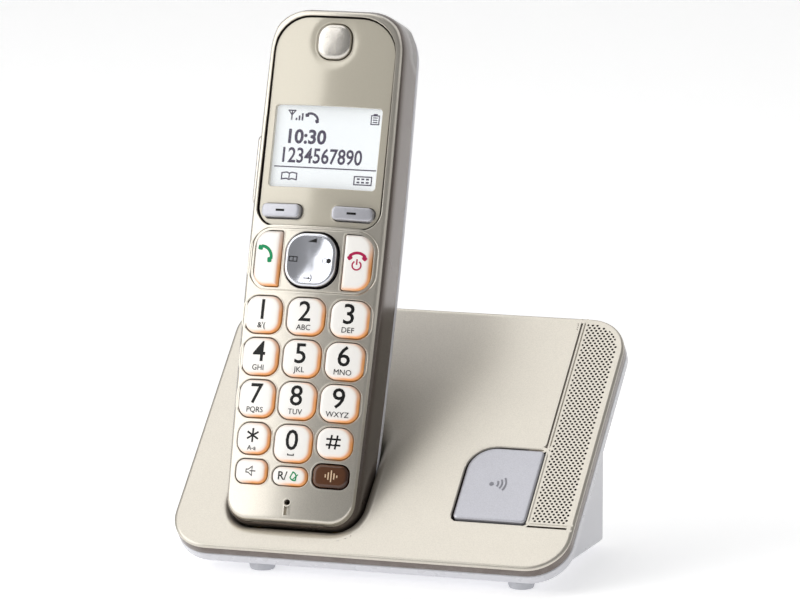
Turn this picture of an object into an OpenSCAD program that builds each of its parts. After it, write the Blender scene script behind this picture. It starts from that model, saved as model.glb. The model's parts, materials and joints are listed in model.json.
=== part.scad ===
// Cordless telephone handset standing in its sloping charging base.
// Millimetres, +X to the right, +Y to the rear, +Z up.
// The origin is on the table, under the middle of the whole object.
// The plate frame lies in the base's sloping face: its origin is the middle of the plate's front
// edge, +Y runs up the slope and +Z stands out of the face. The handset frame has its origin at the
// bottom end of the handset's front face, +Y runs up the handset and +Z points at the user.

/* [Base] */
// Width of the base plate
base_w = 136; // [115:1:165]
// Length of the plate, measured up its slope
plate_len = 103; // [88:1:125]
// Slope of the plate above the table, in degrees
plate_slope = 42; // [38:1:46]
// Radius of the plate's four corners
plate_corner_r = 13.5; // [9:0.5:17]
// Height of the coloured band round the plate's edge
plate_band = 4.2; // [3.5:0.1:6]
// Height of the white lip below the band
lip_band = 4.5; // [3.6:0.1:6]
// Wall of the base's mouldings
base_wall = 2; // [1.6:0.1:2.4]
// Distance from the plate's edge in to the side of the leg
leg_inset = 10; // [6:0.5:12]
// Radius of the leg's rear corners
leg_corner_r = 5; // [3:0.5:8]
// Height of the rubber feet below the housing
foot_h = 2.2; // [1.5:0.1:3]
// Diameter of the rubber feet
foot_d = 9; // [7:0.5:12]

/* [Handset] */
// Length of the handset
handset_len = 172; // [150:1:200]
// Width of the handset at its upper end
handset_w = 49; // [46:0.5:56]
// Width of the handset at its lower end
handset_foot_w = 45.4; // [44:0.1:48]
// Depth of the handset from front to back
handset_d = 26; // [24:0.5:31]
// Depth of the front cover, from the front face to the parting line
split_d = 18; // [16:0.5:20]
// How far the front face falls away from its middle to its sides
crown = 2.1; // [1:0.1:2.4]
// Wall of the handset's covers
handset_wall = 2; // [1.6:0.1:2.4]
// Tilt of the handset above the table, in degrees
handset_tilt = 72.5; // [68:0.5:78]
// Distance from the middle of the base to the middle of the handset, to the left
handset_offset = 27.3; // [24:0.1:30]
// Distance up the slope from the plate's front edge to the handset's front face
seat_up = 7.5; // [6:0.5:12]
// Height of the bottom end of the handset's front face above the plate
seat_rise = 3.5; // [2:0.5:6]

/* [Keys] */
// Distance between the columns of number keys
key_pitch_x = 15; // [14.6:0.1:15.4]
// Distance between the rows of number keys
key_pitch_y = 13.9; // [13.6:0.1:16]
// Width of a number key
key_w = 12.8; // [10:0.1:13.2]
// Height of a number key
key_h = 12.2; // [9:0.1:12.4]
// Corner radius of a number key
key_r = 4; // [2:0.5:4.5]
// Distance from the handset's bottom end to the row of keys 1 to 3
key_row_y = 69.1; // [67:0.1:72]
// How far the keys stand out of the front face
key_proud = 1.3; // [0.8:0.1:2]
// Travel of a key
key_travel = 0.7; // [0.4:0.1:1]
// Gap between a key and the edge of its hole
key_gap = 0.35; // [0.25:0.05:0.5]
// Width across the navigation key
nav_w = 17.4; // [15:0.1:18]
// Width of the call keys beside the navigation key
call_key_w = 9.2; // [8.6:0.1:10.6]
// Height of the call keys
call_key_h = 18.2; // [16:0.1:19]
// Length of the volume rocker
volume_len = 24; // [18:0.5:28]

/* [Display] */
// Width of the display window
window_w = 37; // [30:0.5:38]
// Height of the display window
window_h = 27.3; // [24:0.1:30]
// Width of the glossy panel round the display
panel_w = 42; // [40:0.5:43]
// Height of the glossy panel
panel_h = 69.5; // [64:0.5:70]
// Thickness of the panel and of the window
panel_t = 1; // [0.8:0.1:1.2]
// Size of the earpiece cap
ear_cap = 11.6; // [9:0.1:13]

/* [Locator and grille] */
// Width of the handset locator button
locator_w = 24.6; // [18:0.1:26]
// Height of the handset locator button
locator_h = 29; // [20:0.5:32]
// Distance from the plate's edge to the locator button's right side
locator_inset = 16.5; // [15.5:0.1:20]
// Travel of the locator button
locator_travel = 0.8; // [0.5:0.1:1.2]
// Width of the perforated strip along the plate's right edge
grille_w = 14; // [10:0.5:14.5]
// Distance up the slope to the lower end of the strip and of the button
grille_start = 18; // [17:0.5:24]

/* [Inside] */
// Diameter of a battery cell
cell_d = 10.5; // [10:0.1:10.6]
// Length of a battery cell
cell_len = 44.5; // [40:0.5:46]
// Thickness of the circuit boards
board_t = 1.2; // [1:0.1:1.6]
// Shaft diameter of the screws
screw_d = 2.5; // [2:0.1:3]
// Running gap between pieces that move past each other
gap = 0.3; // [0.2:0.05:0.4]
// Gap between the handset and the pocket that it stands in
pocket_gap = 0.5; // [0.4:0.05:0.8]
// Radius of the power inlet's centre pin
inlet_pin_r = 1; // [0.8:0.05:1.25]

/* [Hidden] */
$fn = 48;
DIGITS = ["1", "2", "3", "4", "5", "6", "7", "8", "9", "star", "0", "hash"];

far = 400;                                    // Larger than anything here, for half spaces
slab_t = plate_band + lip_band;               // Band and lip together
front_edge_z = foot_h + slab_t * cos(plate_slope);
seat_angle = handset_tilt - plate_slope;      // Between the plate and the handset
floor_z = foot_h + base_wall;                 // Inside of the housing's floor
base_depth = plate_len * cos(plate_slope) + slab_t * sin(plate_slope);
leg_front_y = slab_t * sin(plate_slope);      // Where the plate's underside meets the floor
leg_back_y = plate_len * cos(plate_slope);    // Rear wall, behind the plate's front edge
handset_back_y = seat_up * cos(plate_slope) - seat_rise * sin(plate_slope)
    + handset_len * cos(handset_tilt) + handset_d * sin(handset_tilt);
front_y = -max(base_depth, handset_back_y) / 2;

stem_r = 2.5;                                 // Rounding along the handset's front edges
back_r = 7;                                   // Rounding along its back edges
foot_r = 8.5;                                 // Front view, lower corners
head_r = 14;                                  // Front view, upper corners
end_r = 9;                                    // Side view, back of both ends
face_w = handset_w - 5;                       // Front face between its rounded edges

flange_t = 0.8;                               // Flange that keeps a key in
flange_lip = 0.5;                             // How far it reaches past the key
flange_top = handset_wall + crown + gap;      // Depth of the flange below the face's middle
mat_top = flange_top + flange_t + key_travel + gap;
mat_t = 1.2;
board_top = mat_top + mat_t;
board_back = board_top + board_t;
cell_depth = handset_d - handset_wall - gap - cell_d / 2;

nav_y = key_row_y + 18.6;                     // Middle of the navigation key
soft_y = nav_y + 16;                          // Middle of the soft keys
soft_x = 12.4;
window_y = soft_y + 21.9;                     // Middle of the display
panel_y = soft_y - 4.6;                       // Lower edge of the glossy panel
ear_y = panel_y + panel_h - 8;                // Middle of the earpiece cap
function_y = key_row_y - 3 * key_pitch_y - 10;  // Row of three small keys
mic_y = function_y - 9.4;
volume_y = soft_y + 14.5;
volume_proud = 2.2;                           // How far the rocker stands out of the side
volume_side = (handset_foot_w + (handset_w - handset_foot_w) * volume_y / handset_len) / 2;
lid_y = 46;                                   // Lower edge of the battery cover
lid_h = cell_len + 10;
lid_w = 32;
bay_w = 2 * cell_d + 2;

locator_x = base_w / 2 - locator_inset - locator_w / 2;
locator_y = grille_start + locator_h / 2;
grille_x = base_w / 2 - 1.5 - grille_w;       // Left side of the strip
grille_t = 1;
locator_rim = gap + 2.2;                      // From the button out to the outside of its wall
locator_ledge = 3;                            // Depth of the ledge that keeps the button in
locator_flange = locator_ledge + gap + 0.9;   // Depth of the underside of the button's flange
locator_plunger = locator_flange + 1.2;
locator_board_z = -(locator_plunger + locator_travel + 0.1 + 1.5);

screw_places = [[-base_w / 2 + leg_inset + 12, leg_back_y - 11],
                [base_w / 2 - leg_inset - 12, leg_back_y - 11], [8, leg_front_y + 17]];
foot_side = base_w / 2 - leg_inset - 10;       // The front left foot stands clear of the well
foot_places = [[10 - foot_side, leg_front_y + foot_d / 2 + 1], [foot_side + 3, leg_front_y + foot_d / 2 + 1],
    [-foot_side, leg_back_y - 12], [foot_side, leg_back_y - 12]];
column_d = 8;
board_y0 = leg_back_y - 40;                   // Front edge of the base's circuit board
board_y1 = leg_back_y - base_wall - 1;
board_half_w = base_w / 2 - leg_inset - 18;
board_z = floor_z + 3;
jack_z = board_z + board_t;
jack_x = [24, -24];                           // Power inlet and line socket
jack_back = leg_back_y - gap;                 // Face of both jacks, just inside the rear face
dc_size = [9, 14, 11];
line_size = [13.4, 16, 12.5];
plug_size = [9.8, 12, 6.8];                   // Cavity of the line socket
contact_x = 14;
contact_depth = 13.5;                         // Below the handset's front face
contact_w = 3;

// Points of an arc, a step every 15 degrees at most.
function arc(centre, r, from, to) = let (to2 = to < from - 0.01 ? to + 360 : to,
    steps = max(1, ceil((to2 - from) / 15)))
    [for (i = [0:steps]) let (a = from + (to2 - from) * i / steps) centre + r * [cos(a), sin(a)]];

// Direction of the outward normal of the line that touches two circles [x, y, r].
function tangent(a, b) = let (d = [b.x - a.x, b.y - a.y])
    atan2(d.y, d.x) - acos((a.z - b.z) / norm(d));

// Rounded outline round circles [x, y, r] listed anticlockwise, with the outline moved in by inset.
function outline(circles, inset = 0) = let (n = len(circles))
    [for (i = [0:n - 1]) let (c = circles[i],
        from = tangent(circles[(i + n - 1) % n], c), to = tangent(c, circles[(i + 1) % n]))
        each arc([c.x, c.y], max(c.z - inset, 0.01), from, to)];

// Four corner circles of a box w by h about the origin.
function box_corners(w, h, r) = [[w / 2 - r, r - h / 2, r], [w / 2 - r, h / 2 - r, r],
    [r - w / 2, h / 2 - r, r], [r - w / 2, r - h / 2, r]];

// Fall of the front face at a distance x from its middle.
function fall(x) = crown * pow(2 * x / face_w, 2);

module on_plate() {
    translate([0, front_y, front_edge_z]) rotate([plate_slope, 0, 0]) children();
}

module on_handset() {
    on_plate() translate([-handset_offset, seat_up, seat_rise]) rotate([seat_angle, 0, 0])
        children();
}

module from_front() { translate([0, front_y, 0]) children(); }

// A rounded box standing on z = 0, grown by `grow` on every side.
module rounded_box(w, h, r, t, grow = 0) {
    linear_extrude(t) polygon(outline(box_corners(w, h, r), -grow));
}

// ---- Handset body -------------------------------------------------------------------------

front_view = [[handset_foot_w / 2 - foot_r, foot_r, foot_r],
    [handset_w / 2 - head_r, handset_len - head_r, head_r],
    [head_r - handset_w / 2, handset_len - head_r, head_r],
    [foot_r - handset_foot_w / 2, foot_r, foot_r]];

face_steps = 3;
cross_section = concat(
    [[back_r - handset_w / 2, back_r - handset_d, back_r],
     [handset_w / 2 - back_r, back_r - handset_d, back_r],
     [handset_w / 2 - stem_r, -crown - 3.2, stem_r]],
    [for (i = [face_steps:-1:-face_steps]) let (x = i / face_steps * (face_w / 2 - stem_r))
        [x, -fall(x) - stem_r, stem_r]],
    [[stem_r - handset_w / 2, -crown - 3.2, stem_r]]);

side_view = [[end_r, end_r - handset_d, end_r], [handset_len - end_r, end_r - handset_d, end_r],
    [handset_len - 4, -4, 4], [3, -3, 3]];

// The whole handset, moved in by inset on every side, or out where inset is negative.
module handset_solid(inset = 0) {
    intersection() {
        translate([0, 0, -far / 2]) linear_extrude(far) polygon(outline(front_view, inset));
        translate([0, -far / 4, 0]) rotate([90, 0, 0]) mirror([0, 0, 1])
            linear_extrude(far) polygon(outline(cross_section, inset));
        translate([-far / 2, 0, 0]) rotate([90, 0, 90])
            linear_extrude(far) polygon(outline(side_view, inset));
    }
}

module handset_shell() {
    difference() {
        handset_solid();
        handset_solid(handset_wall);
    }
}

// Everything in front of, or behind, a depth below the face.
module in_front_of(depth) { translate([-far / 2, -far / 4, -depth]) cube([far, far, far]); }
module behind(depth) { translate([-far / 2, -far / 4, -depth - far]) cube([far, far, far]); }

// ---- Keys ---------------------------------------------------------------------------------

// A key's name, place, width, height, corner radius and height out of the face.
function digit_spec(i) = let (row = floor(i / 3), col = i % 3 - 1,
    y = key_row_y - row * key_pitch_y + (row == 3 ? 1 : 0) * (col == 0 ? -0.2 : 0.8),
    x = col * (key_pitch_x - 0.024 * row * key_pitch_y), outer_last = row == 3 && col != 0)
    [str("key_", DIGITS[i]), [x, y], outer_last ? key_w - 1.2 : key_w,
     outer_last ? key_h - 2 : key_h, key_r, key_proud - fall(x)];

function function_spec(name, col, w, h) = let (x = col * (key_pitch_x - 1.3))
    [name, [x, function_y - (col == 0 ? 0.9 : 0)], w, h, 2.8, key_proud - fall(x) - 0.2];

function_specs = [function_spec("key_speakerphone", -1, 11.2, 7.8),
    function_spec("key_recall", 0, 11.9, 6), function_spec("key_noise_reduction", 1, 11.8, 7.6)];
call_x = nav_w / 2 + 2.3 + call_key_w / 2;
call_specs = [["key_talk", [-call_x, nav_y], call_key_w, call_key_h, 3.6, key_proud - fall(call_x)],
    ["key_off", [call_x, nav_y], call_key_w, call_key_h, 3.6, key_proud - fall(call_x)]];
soft_specs = [["softkey_left", [-soft_x, soft_y], 13.6, 4.4, 2.1, 1.6 - fall(soft_x)],
    ["softkey_right", [soft_x, soft_y], 13.6, 4.4, 2.1, 1.6 - fall(soft_x)]];
key_specs = concat([for (i = [0:len(DIGITS) - 1]) digit_spec(i)], function_specs, call_specs,
    soft_specs);

function spec(name) = [for (s = key_specs) if (s[0] == name) s][0];

module key_shape(s, grow = 0) {
    translate([s[1].x, s[1].y]) polygon(outline(box_corners(s[2], s[3], s[4]), -grow));
}

// A key with its flange under the cover.
module key(name) {
    s = spec(name);
    on_handset() {
        translate([0, 0, -flange_top]) linear_extrude(flange_top + s[5]) key_shape(s);
        intersection() {
            translate([0, 0, -flange_top - flange_t]) linear_extrude(flange_t)
                key_shape(s, flange_lip);
            handset_solid(handset_wall + gap);
        }
    }
}

module digit_key(name) { color("ivory") key(name); }

nav_spec = ["nav_key", [0, nav_y], nav_w, nav_w + 0.2, 6, 1.8];
nav_seat = flange_top + flange_t;             // Underside of the navigation key
pivot_gap = 0.2;

module nav_key() {
    color("gainsboro") on_handset() {
        translate([0, 0, -flange_top]) linear_extrude(flange_top + nav_spec[5])
            key_shape(nav_spec);
        translate([0, 0, -nav_seat]) linear_extrude(flange_t) intersection() {
            key_shape(nav_spec, flange_lip);
            translate([-nav_w / 2, nav_y - nav_w]) square([nav_w, 2 * nav_w]);
        }
    }
}

module nav_pivot() {
    color("dimgray") on_handset()
        translate([0, nav_y, -board_top + pivot_gap])
            cylinder(d = 4, h = board_top - nav_seat - 2 * pivot_gap);
}

// ---- Handset covers -----------------------------------------------------------------------

panel_corners = [[panel_w / 2 - 6, panel_y + 6, 6],
    [panel_w / 2 - 12, panel_y + panel_h - 12, 12], [12 - panel_w / 2, panel_y + panel_h - 12, 12],
    [6 - panel_w / 2, panel_y + 6, 6]];

module through(depth = handset_wall * 4) {
    translate([0, 0, -depth]) linear_extrude(depth * 2) children();
}

module window_shape(grow = 0) {
    translate([0, window_y]) polygon(outline(box_corners(window_w, window_h, 1.2), -grow));
}

module ear_shape(grow = 0) {
    translate([0, ear_y]) polygon(outline(box_corners(ear_cap, ear_cap, 4), -grow));
}

// Skin of the front face, of the panel's thickness, inside an outline.
module face_skin() {
    difference() {
        intersection() {
            handset_solid();
            through() children();
        }
        handset_solid(panel_t);
    }
}

boss_places = [for (side = [-1, 1]) for (y = [8, handset_len - 17]) [side * 15.5, y]];
boss_d = 5.4;
screw_seat = split_d + 2;                     // Depth of the faces under the screws' heads

module handset_front_cover() {
    color("tan") on_handset() {
        difference() {
            intersection() {
                handset_shell();
                in_front_of(split_d);
            }
            face_skin() polygon(outline(panel_corners, -gap / 2));
            through() for (s = key_specs) key_shape(s, key_gap);
            through() key_shape(nav_spec, key_gap + 0.1);
            through() window_shape(-1.6);
            through() ear_shape(gap);
            through() translate([0, mic_y]) circle(d = 1.8);
            volume_slot();
            charge_slots(0.1);
        }
        for (p = boss_places) translate([p.x, p.y, -split_d + 1]) difference() {
            cylinder(d = boss_d, h = split_d - handset_wall - fall(p.x) - 0.6);
            translate([0, 0, -1]) cylinder(d = screw_d, h = 9);
        }
    }
}

module volume_slot() {
    translate([-handset_w, volume_y - volume_len / 2 - gap, -14])
        cube([handset_w / 2 + 4, volume_len + 2 * gap, 6]);
}

module handset_rear_cover() {
    color("whitesmoke") on_handset() {
        difference() {
            intersection() {
                handset_shell();
                behind(split_d);
            }
            translate([-lid_w / 2 - gap, lid_y - gap, -far]) cube([lid_w + 2 * gap, lid_h + 2 * gap, far]);
            for (p = boss_places) translate([p.x, p.y, -far]) cylinder(d = 5.2, h = far);
            for (i = [-2:2]) translate([i * 4, handset_len - 34, -handset_d - 1])
                cylinder(d = 1.6, h = handset_wall * 3);
        }
        // Sleeves that the screws pull against.
        for (p = boss_places) translate([p.x, p.y, 0]) difference() {
            translate([0, 0, -handset_d + handset_wall - 0.2])
                cylinder(d = 7.4, h = handset_d - handset_wall + 0.2 - split_d + 1);
            translate([0, 0, -screw_seat - far]) cylinder(d = 5.2, h = far);
            cylinder(d = screw_d + 0.4, h = far, center = true);
        }
        // Walls of the battery bay.
        bay_t = 1.2;
        translate([0, lid_y + lid_h / 2, -handset_d + handset_wall]) difference() {
            translate([-bay_w / 2 - bay_t, -lid_h / 2 - bay_t, -0.3])
                cube([bay_w + 2 * bay_t, lid_h + 2 * bay_t, cell_d + 0.5]);
            translate([-bay_w / 2, -lid_h / 2, -1]) cube([bay_w, lid_h, cell_d + 5]);
            translate([-lid_w / 2 - gap, -lid_h / 2 - gap, -1])
                cube([lid_w + 2 * gap, lid_h + 2 * gap, 1 + gap]);
        }
    }
}

module battery_cover() {
    color("white") on_handset() {
        translate([-lid_w / 2, lid_y, -handset_d]) cube([lid_w, lid_h, handset_wall]);
        // Snap tongue at the top and a locating rib at the bottom, both inside the battery bay.
        translate([-3, lid_y + lid_h - 3, -handset_d + handset_wall]) cube([6, 1.2, 2]);
        translate([-1.2, lid_y + 0.2, -handset_d + handset_wall]) cube([2.4, 1.4, 1.6]);
    }
}

module display_panel() {
    color("burlywood") on_handset() difference() {
        face_skin() polygon(outline(panel_corners));
        through() window_shape(0.05);
        through() ear_shape(gap);
        through() for (s = soft_specs) key_shape(s, key_gap);
    }
}

module display_window() { color("lightcyan", 0.6) on_handset() face_skin() window_shape(); }

module lcd_module() {
    color("lightslategray") on_handset()
        translate([-window_w / 2 - 0.5, window_y - window_h / 2 - 2.5, -board_top])
            cube([window_w + 1, window_h + 4, board_top - flange_top]);
}

module earpiece_cap() {
    color("silver") on_handset() translate([0, 0, -handset_wall - 0.4])
        linear_extrude(handset_wall + 0.9) ear_shape();
}

module receiver_speaker() {
    color("dimgray") on_handset() translate([0, ear_y, -handset_wall - 0.4 - 3.4]) {
        cylinder(d = 15, h = 2.4);
        cylinder(d = 9, h = 3.4);
    }
}

// ---- Handset inside -----------------------------------------------------------------------

mat_y0 = mic_y + 6.4;
mat_y1 = soft_y + 3.4;

module key_mat() {
    color("gray") on_handset() translate([0, 0, -board_top]) difference() {
        linear_extrude(mat_t) polygon(outline([[16, mat_y0 + 3, 3], [18, mat_y1 - 3, 3],
            [-18, mat_y1 - 3, 3], [-16, mat_y0 + 3, 3]]));
        translate([0, nav_y, -1]) cylinder(d = 7, h = mat_t + 2);
    }
}

module handset_circuit_board() {
    color("darkgreen") on_handset() translate([0, 0, -board_back]) difference() {
        linear_extrude(board_t) polygon(outline([[12.5, 9, 4], [12.5, handset_len - 14, 5],
            [-12.5, handset_len - 14, 5], [-12.5, 9, 4]]));
        for (p = boss_places) translate([p.x, p.y, -1]) cylinder(d = boss_d + 1, h = board_t + 2);
    }
}

module handset_antenna() {
    color("goldenrod") on_handset() {
        translate([-9, handset_len - 13, -board_back - 3]) cube([18, 0.6, 3]);
        translate([-9, handset_len - 17, -board_back - 3]) cube([18, 4, 0.5]);
    }
}

module microphone() {
    color("dimgray") on_handset() translate([0, mic_y, -board_top]) cylinder(d = 4, h = 3.4);
}

module ringer_speaker() {
    color("dimgray") on_handset()
        translate([0, handset_len - 34, -handset_d + handset_wall + 0.4]) {
            cylinder(d = 20, h = 2.6);
            cylinder(d = 11, h = 4.2);
        }
}

module battery_cells() {
    color("seagreen") on_handset() for (side = [-1, 1])
        translate([side * (cell_d / 2 + 0.3), lid_y + lid_h / 2 - cell_len / 2, -cell_depth])
            rotate([-90, 0, 0]) {
                cylinder(d = cell_d, h = cell_len - 1);
                cylinder(d = 3.6, h = cell_len);
            }
}

module battery_contacts() {
    end_gap = (lid_h - cell_len) / 2;
    color("silver") on_handset() for (side = [-1, 1])
        translate([side * (cell_d / 2 + 0.3), lid_y, -cell_depth]) {
            translate([-4, 0, -4]) cube([8, 0.4, 8]);
            rotate([-90, 0, 0]) cylinder(d1 = 7, d2 = 4, h = end_gap);
            translate([-4, lid_h - 0.4, -4]) cube([8, 0.4, 8]);
            translate([0, lid_h, 0]) rotate([90, 0, 0]) cylinder(d = 3, h = end_gap);
        }
}

module handset_screws() {
    color("silver") on_handset() for (p = boss_places)
        translate([p.x, p.y, -screw_seat]) {
            translate([0, 0, -2]) cylinder(d = 4.6, h = 2);
            cylinder(d = screw_d, h = screw_seat - split_d + 8);
        }
}

module charge_slots(grow = 0) {
    for (side = [-1, 1])
        translate([side * contact_x - contact_w / 2 - grow, -1, -contact_depth - contact_w / 2 - grow])
            cube([contact_w + 2 * grow, handset_wall + 2, contact_w + 2 * grow]);
}

module handset_charge_contacts() {
    color("gold") on_handset() for (side = [-1, 1])
        translate([side * contact_x - contact_w / 2, 0.3, -contact_depth - contact_w / 2]) {
            cube([contact_w, handset_wall + 1, contact_w]);
            translate([0, handset_wall + 0.4, 0]) cube([contact_w, 0.6, contact_w + 1.5]);
        }
}

module volume_key() {
    depth = volume_proud + handset_wall + 0.9;
    color("silver") on_handset() translate([-volume_side - volume_proud, volume_y, -13.5]) {
        translate([0, 0.4 - volume_len / 2, 0]) cube([depth, volume_len - 0.8, 5]);
        // Flange that keeps the rocker behind the side wall.
        translate([depth, -volume_len / 2 - 0.9, 0]) cube([flange_t, volume_len + 1.8, 5]);
    }
}

module volume_switches() {
    color("dimgray") on_handset() for (side = [-1, 1])
        translate([-volume_side + handset_wall + 2.6, volume_y + side * volume_len / 3 - 2,
                   -board_back - 3]) cube([3.4, 4, 3]);
}

// ---- Base ---------------------------------------------------------------------------------

// Plate outline, from its front edge up the slope.
module plate_shape(inset = 0) {
    translate([0, plate_len / 2]) polygon(outline(box_corners(base_w, plate_len, plate_corner_r), inset));
}

module grille_shape(inset = 0) {
    intersection() {
        plate_shape(1.5 + inset);
        translate([grille_x + inset, grille_start + inset]) square([base_w, far]);
    }
}

locator_corners = let (w = locator_w / 2, h = locator_h / 2)
    [[w - 1.5, 1.5 - h, 1.5], [w - 1.5, h - 1.5, 1.5], [9 - w, h - 9, 9], [1.5 - w, 1.5 - h, 1.5]];

module locator_shape(grow = 0) {
    translate([locator_x, locator_y]) polygon(outline(locator_corners, -grow));
}

// Everything below the plate's face, or below a depth under it.
module under_plate(depth = 0) {
    translate([-far / 2, -far / 2, -depth - far]) cube([far, far, far]);
}

module handset_space(grow) {
    translate([-handset_offset, seat_up, seat_rise]) rotate([seat_angle, 0, 0])
        handset_solid(-grow);
}

boss_base_z = [for (p = screw_places) front_edge_z + p.y * tan(plate_slope) - 14];

module base_top_cover() {
    well_t = base_wall;
    color("tan") on_plate() difference() {
        union() {
            difference() {
                translate([0, 0, -plate_band]) linear_extrude(plate_band) plate_shape();
                translate([0, 0, -plate_band - 1]) linear_extrude(plate_band + 1 - base_wall)
                    plate_shape(base_wall);
            }
            // Well that the handset stands in.
            intersection() {
                handset_space(pocket_gap + well_t);
                under_plate();
            }
            // Wall round the locator button.
            translate([0, 0, locator_board_z])
                linear_extrude(-locator_board_z - base_wall / 2) locator_shape(locator_rim);
        }
        handset_space(pocket_gap);
        translate([0, 0, -far / 2]) linear_extrude(far) locator_shape(gap);
        translate([0, 0, -locator_ledge - far]) linear_extrude(far) locator_shape(1 + gap);
        translate([0, 0, -grille_t]) linear_extrude(far) grille_shape();
        well_slots();
    }
    color("tan") from_front() for (i = [0:2]) translate([screw_places[i].x, screw_places[i].y, 0])
        difference() {
            intersection() {
                translate([0, 0, boss_base_z[i]]) cylinder(d = column_d - 1.5, h = far);
                translate([-screw_places[i].x, -screw_places[i].y, front_edge_z])
                    rotate([plate_slope, 0, 0]) under_plate(base_wall / 2);
            }
            translate([0, 0, boss_base_z[i] - 1]) cylinder(d = screw_d, h = 8);
        }
}

// Slots in the floor of the well for the charging blades.
module well_slots() {
    translate([-handset_offset, seat_up, seat_rise]) rotate([seat_angle, 0, 0])
        for (side = [-1, 1])
            translate([side * contact_x - contact_w / 2 - gap, -base_wall - pocket_gap - 1,
                       -contact_depth - contact_w / 2 - gap])
                cube([contact_w + 2 * gap, base_wall + 2, contact_w + 2 * gap]);
}

module base_charge_contacts() {
    blade_t = 0.5;
    reach = base_wall + pocket_gap + 1.6;
    color("gold") on_handset() for (side = [-1, 1])
        translate([side * contact_x - contact_w / 2, -reach, -contact_depth - contact_w / 2]) {
            cube([contact_w, reach - 0.2, blade_t]);
            translate([0, reach - 0.2 - blade_t, 0]) cube([contact_w, blade_t, contact_w]);
            cube([contact_w, blade_t, contact_w + 2]);
        }
}

module grille_strip() {
    color("burlywood") on_plate() translate([0, 0, -grille_t]) linear_extrude(grille_t)
        grille_shape(0.15);
}

// Leg in plan and in side view, moved in by inset.
module leg_solid(inset = 0, top = 0) {
    half_w = base_w / 2 - leg_inset;
    r = leg_corner_r;
    from_front() intersection() {
        linear_extrude(far) polygon(outline([[half_w - 3, leg_front_y + 4.5, 3],
            [half_w - r, leg_back_y - r, r], [r - half_w, leg_back_y - r, r],
            [3 - half_w, leg_front_y + 4.5, 3]], inset));
        translate([-far / 2, 0, 0]) rotate([90, 0, 90]) linear_extrude(far)
            polygon([[leg_front_y - far, foot_h + inset], [leg_back_y + far, foot_h + inset],
                [leg_back_y + far, far], [leg_front_y - far, far]]);
        translate([0, 0, front_edge_z]) rotate([plate_slope, 0, 0]) under_plate(top);
    }
}

// Hole through the rear wall for a jack, as wide and high as the jack and a gap all round.
module jack_hole(x, size) {
    translate([x - size.x / 2 - gap, leg_back_y - base_wall - 1, jack_z - gap])
        cube([size.x + 2 * gap, base_wall + 3, size.z + 2 * gap]);
}

module base_rear_housing() {
    color("whitesmoke") difference() {
        union() {
            difference() {
                union() {
                    on_plate() translate([0, 0, -slab_t]) linear_extrude(lip_band) plate_shape();
                    leg_solid(0, slab_t - 1);
                }
                on_plate() translate([0, 0, -slab_t + base_wall]) linear_extrude(far)
                    plate_shape(base_wall);
                leg_solid(base_wall, 0);
            }
            // Columns for the screws and posts under the circuit board.
            from_front() for (i = [0:2]) translate([screw_places[i].x, screw_places[i].y, foot_h + 0.5])
                cylinder(d = column_d, h = boss_base_z[i] - foot_h - 0.5);
            from_front() for (x = [-1, 1]) for (y = [board_y0 + 4, board_y1 - 4])
                translate([x * (board_half_w - 4), y, floor_z - 0.5])
                    cylinder(d = 5, h = board_z - floor_z + 0.5);
        }
        from_front() for (i = [0:2]) translate([screw_places[i].x, screw_places[i].y, 0]) {
            cylinder(d = 5.2, h = boss_base_z[i] - 2);
            cylinder(d = screw_d + 0.4, h = far);
        }
        from_front() {
            jack_hole(jack_x[0], dc_size);
            jack_hole(jack_x[1], line_size);
        }
    }
}

module base_feet() {
    color("dimgray") from_front() for (p = foot_places) translate([p.x, p.y, 0])
        cylinder(d1 = foot_d - 1, d2 = foot_d, h = foot_h);
}

module base_screws() {
    color("silver") from_front() for (i = [0:2])
        translate([screw_places[i].x, screw_places[i].y, boss_base_z[i] - 2]) {
            translate([0, 0, -2]) cylinder(d = 4.8, h = 2);
            cylinder(d = screw_d, h = 8);
        }
}

module base_circuit_board() {
    color("darkgreen") from_front() translate([-board_half_w, board_y0, board_z])
        cube([2 * board_half_w, board_y1 - board_y0, board_t]);
}

module base_shield_can() {
    color("silver") from_front() translate([-10, board_y0 + 6, jack_z]) difference() {
        cube([22, 18, 3.4]);
        translate([0.4, 0.4, -1]) cube([21.2, 17.2, 4]);
    }
}

module base_antenna() {
    color("goldenrod") from_front() translate([4, board_y1 - 5, jack_z]) {
        cube([0.6, 3, 24]);
        translate([0, 0, 21]) cube([8, 3, 3]);
    }
}

module dc_jack() {
    hole_r = 3.1;
    color("dimgray") from_front()
        translate([jack_x[0], jack_back, jack_z + dc_size.z / 2]) rotate([90, 0, 0]) {
            difference() {
                translate([-dc_size.x / 2, -dc_size.z / 2, 0])
                    cube([dc_size.x, dc_size.z, dc_size.y]);
                translate([0, 0, -1]) cylinder(r = hole_r, h = 10);
            }
            translate([0, 0, 0.5]) cylinder(r = inlet_pin_r, h = 9);
        }
}

module line_jack() {
    color("dimgray") from_front()
        translate([jack_x[1], jack_back - line_size.y, jack_z]) difference() {
            translate([-line_size.x / 2, 0, 0]) cube(line_size);
            translate([-plug_size.x / 2, line_size.y - plug_size.y, 3.6])
                cube([plug_size.x, plug_size.y + 1, plug_size.z]);
            // Slot for the plug's latch.
            translate([-2.2, line_size.y - plug_size.y, 1.6]) cube([4.4, plug_size.y + 1, 3]);
        }
}

module locator_button() {
    color("lightgray") on_plate() {
        translate([0, 0, -locator_ledge - gap]) linear_extrude(locator_ledge + gap + 0.6)
            locator_shape();
        translate([0, 0, -locator_flange]) linear_extrude(0.9) locator_shape(0.9);
        translate([locator_x, locator_y, -locator_plunger])
            cylinder(d = 5, h = locator_plunger - locator_flange);
    }
}

module locator_switch() {
    color("dimgray") on_plate() translate([locator_x - 3, locator_y - 3, locator_board_z]) {
        cube([6, 6, 1]);
        translate([3, 3, 1]) cylinder(d = 3.4, h = 0.5);
    }
}

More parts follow.
